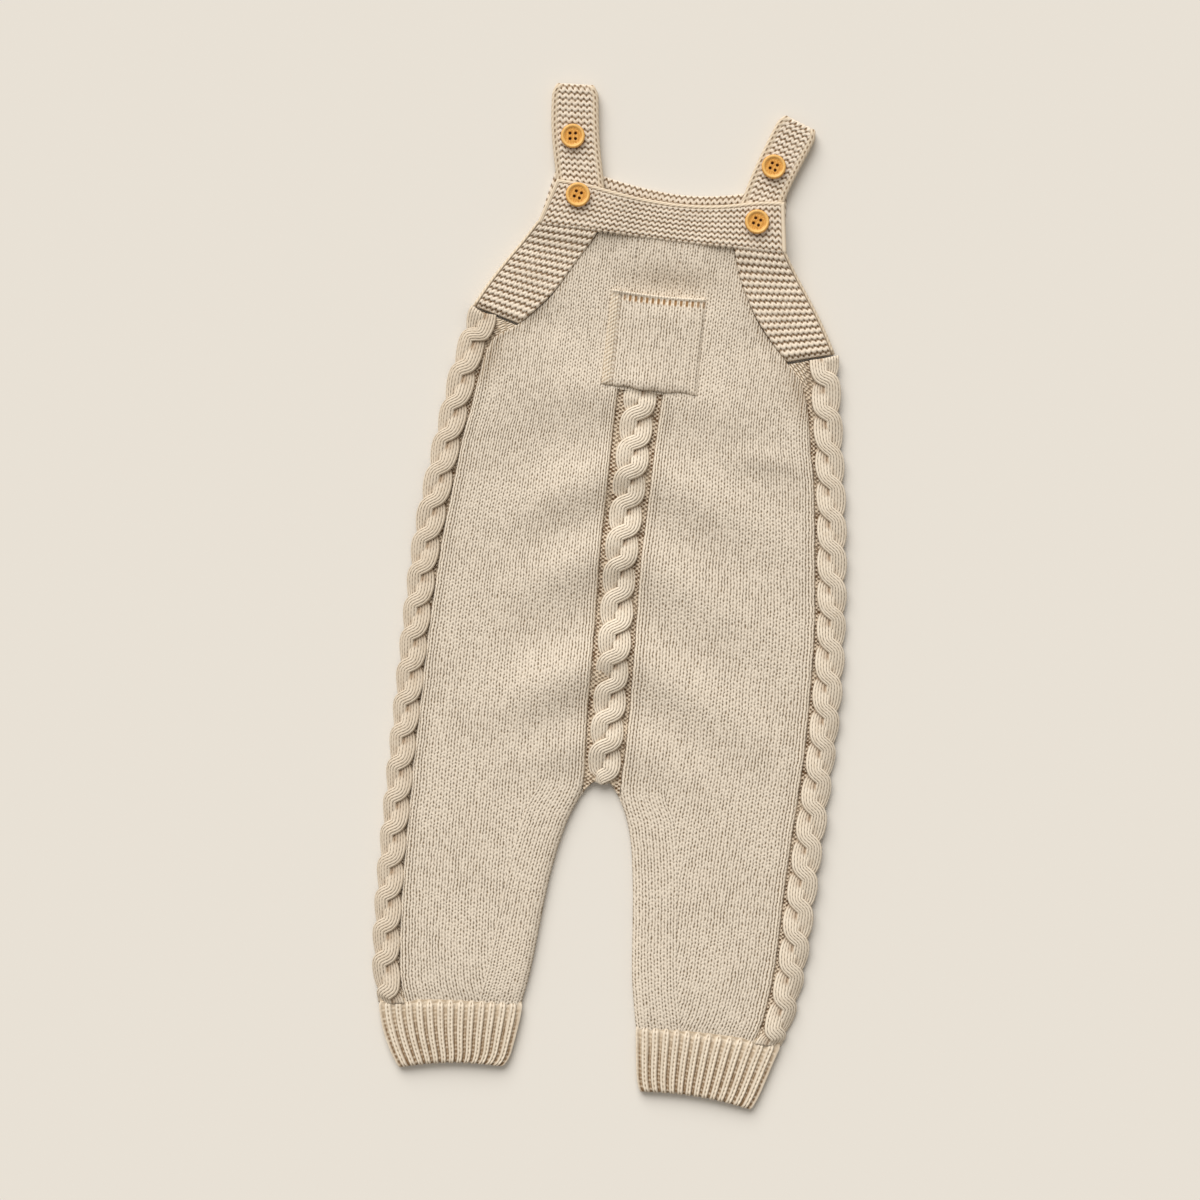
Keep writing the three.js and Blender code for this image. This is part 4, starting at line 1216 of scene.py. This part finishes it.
def strap(side):
    """A strap: up from the neck band along the surface, over at the shoulder and down
    again behind the bib, as sections along that path."""
    node, sign = f"strap_{side}", SIGN[side]
    top_neck, top_arm = corners(node, sign, 1)
    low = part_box(node)[0].y / MM
    neck_y = np.linspace(low, top_neck[1] - 0.1, 60)
    arm_y = np.linspace(low, top_arm[1] - 0.1, 60)
    neck = edge_line(node, sign, neck_y, 6, INNER)
    arm = edge_line(node, sign, arm_y, 6, OUTER)
    neck[-1], arm[-1] = top_neck, top_arm
    bend = (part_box(node)[1].z / MM - STRAP_THICK) / 2
    share = np.linspace(0, 1, 60)
    long = np.linalg.norm((neck[-1] + arm[-1] - neck[0] - arm[0]) / 2)
    last = 1 - (bend + STRAP_THICK / 2 - 1.5) / long
    first = (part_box("back_neck_band")[1].y / MM - 6 - low) / long
    step = 0.48
    back = np.linspace(first, last, int((last - first) * long / 0.9))
    turn = np.linspace(0, np.pi, 14)[1:-1]
    front = np.linspace(last, 0, int(last * long / step))
    place = np.concatenate([back, last + 0 * turn, front])
    rise = np.concatenate([0 * back, 1 - np.cos(turn), 2 + 0 * front])
    level = STRAP_THICK / 2 + bend * rise
    beyond = np.concatenate([0 * back, bend * np.sin(turn), 0 * front])
    facing = np.concatenate([np.pi + 0 * back, np.pi - turn, 0 * front])

    ahead = (neck[-1] + arm[-1] - neck[-6] - arm[-6]) / 2
    ahead = ahead / np.linalg.norm(ahead)
    a, b = at_places(place, share, neck), at_places(place, share, arm)
    path = np.concatenate([(a + b) / 2 + ahead * beyond[:, None], level[:, None]], 1)
    run = distances(np.linalg.norm(np.diff(path, axis=0), axis=1))
    # The two corners of the fold are rounded off.
    near_fold = bell((run - run[len(back) + 6]) / 3.0)[:, None]
    centre = (a + b) / 2
    a, b = (centre + (edge - centre) * (1 - 0.15 * near_fold) for edge in (a, b))
    span = np.linalg.norm(b - a, axis=1)
    face, off, u, v, from_edge = garter_section(
        span, run, GARTER_STITCH, STRAP_RIDGE, False, STRAP_ZIG, STRAP_CORD,
        (True, True), 0.55, STRAP_THICK, step,
    )
    plan = a[:, None] + (b - a)[:, None] * face[..., None]
    # The outer face looks down on the back layer, ahead at the fold and up in front.
    up = np.cos(facing)[:, None] * off
    on = np.sin(facing)[:, None] * off
    plan = plan + ahead * (beyond[:, None] + on)[..., None]
    rings = xyz(sign * plan[..., 0], plan[..., 1], level[:, None] + up)
    return garter_tube(f"strap_{side}_garter", rings, u, v, from_edge, run, STRAP)


for side in SIGN:
    for face in ("front", "back"):
        keep(armhole_band(side, face), "garter_knit", f"armhole_{face}_{side}")
    keep(strap(side), "garter_knit", f"strap_{side}")
bib = neck_bar("bib_band", "bib_garter_band", True, 0.42)
keep(bib, "garter_knit", "bib_band")
neck_band = neck_bar("back_neck_band", "neck_garter_band", False, 0.7)
keep(neck_band, "garter_knit", "back_neck_band")


# ---- Cuffs ----
def cuff(side):
    """A ribbed cuff: a flattened tube whose wall stands out in ribs of two legs each.
    Its section is |x|^2.7 + |z|^4.4 = 1, stretched to the cuff's width and height."""
    node, sign = f"cuff_{side}", SIGN[side]
    top_in, top_out = corners(node, sign, 1)
    low_in, low_out = corners(node, sign, -1)
    rows = 34
    run = np.linspace(0, 1, rows)
    out_y = np.linspace(top_out[1], low_out[1], rows)
    in_y = np.linspace(top_in[1], low_in[1], rows)
    outer = edge_line(node, sign, out_y, 3, OUTER)
    inner = edge_line(node, sign, in_y, 3, INNER)
    outer[0], inner[0], outer[-1], inner[-1] = top_out, top_in, low_out, low_in
    for edge in (outer, inner):
        edge[:, 1] += 3.2 * (1 - run)
    low = np.clip((run - 0.78) / 0.22, 0, 1)
    low = 1 - np.sqrt(1 - 0.97 * low**2)
    outer[:, 0] -= 1.6 * low
    inner[:, 0] += CUFF_TUCK[side] * low
    middle_points = (outer + inner) / 2
    across = (outer - inner) / 2
    half = np.linalg.norm(across, axis=1)
    unit = across / half[:, None]
    around = 2 * FRONT_RIBS * 12
    angle = np.linspace(0, 2 * np.pi, 721)
    wide = np.sign(np.cos(angle)) * np.abs(np.cos(angle)) ** 0.75
    tall = np.sign(np.sin(angle)) * np.abs(np.sin(angle)) ** 0.45
    high = 2.5
    # Even steps round the section, found from a fine walk round it.
    strides = np.hypot(np.diff(half.mean() * wide), np.diff(high * tall))
    walk = distances(strides)
    even = np.linspace(0, walk[-1], around + 1)[:-1]
    wide = np.interp(even, walk, wide)[None, :]
    tall = np.interp(even, walk, tall)[None, :]
    u = np.linspace(0, 2 * FRONT_RIBS, around + 1)[:-1][None, :] + 0 * run[:, None]
    from_middle = np.abs((u + 0.5) % 1 - 0.5) * 2  # 0 on a rib's middle, 1 in a hollow
    starts = smooth((run + 0.01) / 0.13)[:, None]
    rib = 1 - smooth((from_middle - 0.48) / 0.42)
    rib = rib * (1 - 0.3 * bell(from_middle / 0.18))
    rib = rib * smooth((run[:, None] * CUFF_LENGTH - 4 * from_middle + 1) / 3)
    hem = np.sqrt(1 - (1 - np.clip((1 - run) / 0.05, 0, 1)) ** 2)[:, None]
    off = 1.15 * rib * starts - 0.45
    wall_x = (half[:, None] + off * np.abs(wide) ** 3) * wide
    wall_z = high + (high - 0.35 + off) * tall * (0.72 + 0.28 * hem)
    arch = 2.2 * smooth(run)[:, None] * (1 - wide**2)
    loops = 0.5 * rib * smooth((run - 0.9) / 0.1)[:, None]
    plan = middle_points[:, None] + unit[:, None] * wall_x[..., None]
    wall_z = np.maximum(wall_z, 0.0)
    outside = xyz(sign * plan[..., 0], plan[..., 1] + arch - loops, wall_z)
    few = np.linspace(rows - 1, 0, 7).astype(int)
    inside_x = (half[few, None] - 1.9) * wide
    inside_z = high + (high - 2.0) * tall + 0 * inside_x
    plan = middle_points[few, None] + unit[few, None] * inside_x[..., None]
    inside_z = np.maximum(inside_z, 0.5)
    inside = xyz(sign * plan[..., 0], plan[..., 1] + arch[few], inside_z)
    rings = np.concatenate([outside, inside])
    count = len(rings)
    down = (run * CUFF_LENGTH)[:, None] + 0 * u
    down = np.concatenate([down, down[few]])
    uv = np.stack([np.concatenate([u, u[few]]), down / ROW], -1)
    faces = grid_faces(count, around, ring=True)
    close = faces[:around].copy()
    close[:, :2] += (count - 1) * around
    close[:, 2:] -= around
    faces = np.concatenate([faces, close])
    face_uv = uv.reshape(-1, 2)[faces].copy()
    join = np.arange(len(faces)) % around == around - 1
    face_uv[join, 1, 0] += 2 * FRONT_RIBS
    face_uv[join, 2, 0] += 2 * FRONT_RIBS
    points = rings.reshape(-1, 3)
    return make_piece(f"{node}_rib", points, faces, face_uv, RIB, {"from_top": down})


for side in SIGN:
    keep(cuff(side), "rib_knit", f"cuff_{side}")


# ---- Pocket ----
def pocket():
    """The patch pocket: it follows the front, bows up, has a rolled strip down its left
    side and ends in a cord along its open top."""
    node = "pocket"
    low_left, low_right = corners(node, 1, -1)
    high_left, high_right = corners(node, 1, 1)
    ease = 0.5 - 0.5 * np.cos(np.pi * np.linspace(0, 1, 91))
    ease = 0.6 * ease + 0.4 * np.linspace(0, 1, 91)
    u, v = ease[None, :, None], ease[:, None, None]
    left = low_left + (high_left - low_left) * v
    right = low_right + (high_right - low_right) * v
    plan = left + (right - left) * u
    u, v = u[..., 0], v[..., 0]
    x = plan[..., 0]
    wide = np.linalg.norm(right - left, axis=-1)
    tall = float(np.linalg.norm(high_left - low_left))
    y = plan[..., 1] + 0.35 * bell(v * tall / 3) * (np.sin(9.0 * u) + np.cos(23 * u))
    y = y - 0.9 * np.sin(np.pi * u) * v
    from_left, from_right = u * wide, (1 - u) * wide
    from_low, from_top = v * tall + 0 * x, (1 - v) * tall + 0 * x
    bow = np.sin(np.pi * u) ** 0.7 * np.sin(np.pi * np.minimum(0.12 + 0.8 * v, 0.62))
    cord = 0.7 * bell((from_top - 0.9) / 0.8)
    pillars = np.clip(-np.cos(2 * np.pi * from_left / POCKET_STITCH), 0, 1)
    slots = bell((from_top - 3.2) / 1.3) * (0.6 * pillars - 0.45)
    strip = 0.45 * bell((from_left - 2.3) / 1.9) - 0.35 * bell((from_left - 5.3) / 0.7)
    crease = -0.4 * bell((from_right - 4.4) / 1.2) * (1 - smooth((v - 0.75) / 0.2))
    rim = np.minimum(np.minimum(from_left, from_right), from_low)
    z = front_height(x, y) + 1.3 + 1.5 * bow + cord + slots + strip + crease
    z = z - 1.3 * rounded(rim, 5.0) - 1.0 * rounded(from_top, 0.8)
    z = z + 1.6 * bell((x - middle(y)) / 9) * bell(from_low / 8)
    uv = np.stack([from_left / POCKET_STITCH, y / ROW], -1)
    upper = xyz(x, y, z)
    lower = xyz(x, y, np.maximum(front_height(x, y) + 0.1, z - CLOTH))
    attributes = {
        "edge": 50 + 0 * x,
        "gather": 0 * x,
        # Painted shade along the pocket's bottom edge and right edge.
        "soil": 0.4 * bell(from_low / 1.6) + 0.1 * bell(from_right / 3),
        "from_top": from_top,
        "from_left": from_left,
        "slots": smooth((from_left - 5) / 4) * (1 - 0.3 * smooth((u - 0.85) / 0.15)),
    }
    return layered("patch_pocket", upper, lower, uv, POCKET, attributes)


keep(pocket(), "plain_knit", "pocket")


# ---- Buttons ----
PROFILE_RADIUS, PROFILE_THICK = 6.35, 2.8  # of the profile in button()
HOLE_PLACE = 1.42  # along X and along Y from the button's middle
HOLE_RADIUS, HOLE_DEPTH = 0.62, 1.6


def button(node, turn):
    """A turned button: rings of points from the middle of its face out over the rim
    and under, with four sewing holes sunk into the face."""
    low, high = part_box(node)
    centre = (low + high) / 2 / MM
    radius = (high.x - low.x) / 2 / MM
    thick = (high.z - low.z) / MM
    profile = np.array(
        [[0, 2.0], [1, 1.98], [2, 1.95], [3, 1.92], [3.9, 1.9], [4.3, 1.98],
         [4.6, 2.25], [4.9, 2.55], [5.3, 2.72], [5.7, 2.7], [6.05, 2.45], [6.28, 2.0],
         [6.35, 1.5], [6.25, 1.0], [5.9, 0.5], [5.2, 0.15], [4.0, 0.0], [2.0, 0.0],
         [0, 0.0]]
    )
    walk = distances(np.hypot(*np.diff(profile, axis=0).T))
    even = np.concatenate([np.linspace(0, 4.0, 30), np.linspace(4.0, walk[-1], 50)[1:]])
    r = np.interp(even, walk, profile[:, 0])[:, None]
    z = np.interp(even, walk, profile[:, 1])[:, None] * thick / PROFILE_THICK
    r = r * radius / PROFILE_RADIUS
    angle = np.linspace(0, 2 * np.pi, 90, endpoint=False)[None, :]
    x, y = r * np.cos(angle), r * np.sin(angle)
    c, s = math.cos(turn), math.sin(turn)
    face = even[:, None] < 4.4
    hole = np.zeros_like(x)
    for hx in (-HOLE_PLACE, HOLE_PLACE):
        for hy in (-HOLE_PLACE, HOLE_PLACE):
            away = np.hypot(x - hx, y - hy)
            hole = np.maximum(hole, 1 - smooth((away - HOLE_RADIUS) / 0.22))
    hole = hole * face
    z = z - HOLE_DEPTH * hole
    px = centre.x + x * c - y * s
    py = centre.y + x * s + y * c
    rings = xyz(px, py, low.z / MM + z + 0 * x)
    uv = np.stack([x * 0.5, y * 0.5], -1)
    # Where the rim's painted highlight falls.
    rim = bell((r - 5.3) / 0.75) * (even[:, None] < 8) + 0 * x
    return tube(f"{node}_wood", rings, uv, WOOD, {"rim": rim, "hole": hole})


for node, turn in (
    ("button_left_upper", 0.12),
    ("button_left_lower", -0.25),
    ("button_right_upper", -0.28),
    ("button_right_lower", -0.3),
):
    keep(button(node, turn), "button_wood", node)


# ---- Surface, light and camera ----
def surface():
    """A wide pale surface under the garment."""
    mesh = bpy.data.meshes.new("surface")
    half, level = 12.0, -0.0003
    corners = [(-half, -half), (half, -half), (half, half), (-half, half)]
    mesh.from_pydata([(x, y, level) for x, y in corners], [], [(0, 1, 2, 3)])
    material = bpy.data.materials.new("pale_surface")
    material.use_nodes = True
    shader = material.node_tree.nodes["Principled BSDF"]
    shader.inputs["Base Color"].default_value = linear(224, 219, 211)
    shader.inputs["Roughness"].default_value = 0.95
    shader.inputs["Specular IOR Level"].default_value = 0.1
    mesh.materials.append(material)
    floor = bpy.data.objects.new("surface", mesh)
    bpy.context.scene.collection.objects.link(floor)
    return floor


surface()

scene = bpy.context.scene
scene.view_settings.view_transform = "Standard"

LENS, SENSOR = 85, 36  # millimetres
VIEW_WIDTH = 0.624  # metres seen across, at VIEW_LEVEL above the surface
VIEW_LEVEL = 0.004

camera = bpy.data.objects.new("camera", bpy.data.cameras.new("camera"))
scene.collection.objects.link(camera)
camera.data.lens = LENS
camera.data.sensor_width = SENSOR
distance = VIEW_WIDTH / 2 / (SENSOR / 2 / LENS)
camera.location = (-0.0150, -0.0053, distance + VIEW_LEVEL)
camera.rotation_euler = (0, 0, math.radians(7))
camera.data.clip_end = 20
scene.camera = camera

key = bpy.data.objects.new("key", bpy.data.lights.new("key", "SUN"))
scene.collection.objects.link(key)
key.data.energy = 3.35
key.data.angle = math.radians(50)
key.data.color = (1.0, 0.988, 0.972)
key.rotation_euler = (math.radians(-45), math.radians(-28), 0)

world = bpy.data.worlds.new("world")
scene.world = world
world.use_nodes = True
sky = world.node_tree.nodes["Background"].inputs
sky["Color"].default_value = (1.0, 0.96, 0.89, 1)
sky["Strength"].default_value = 0.42
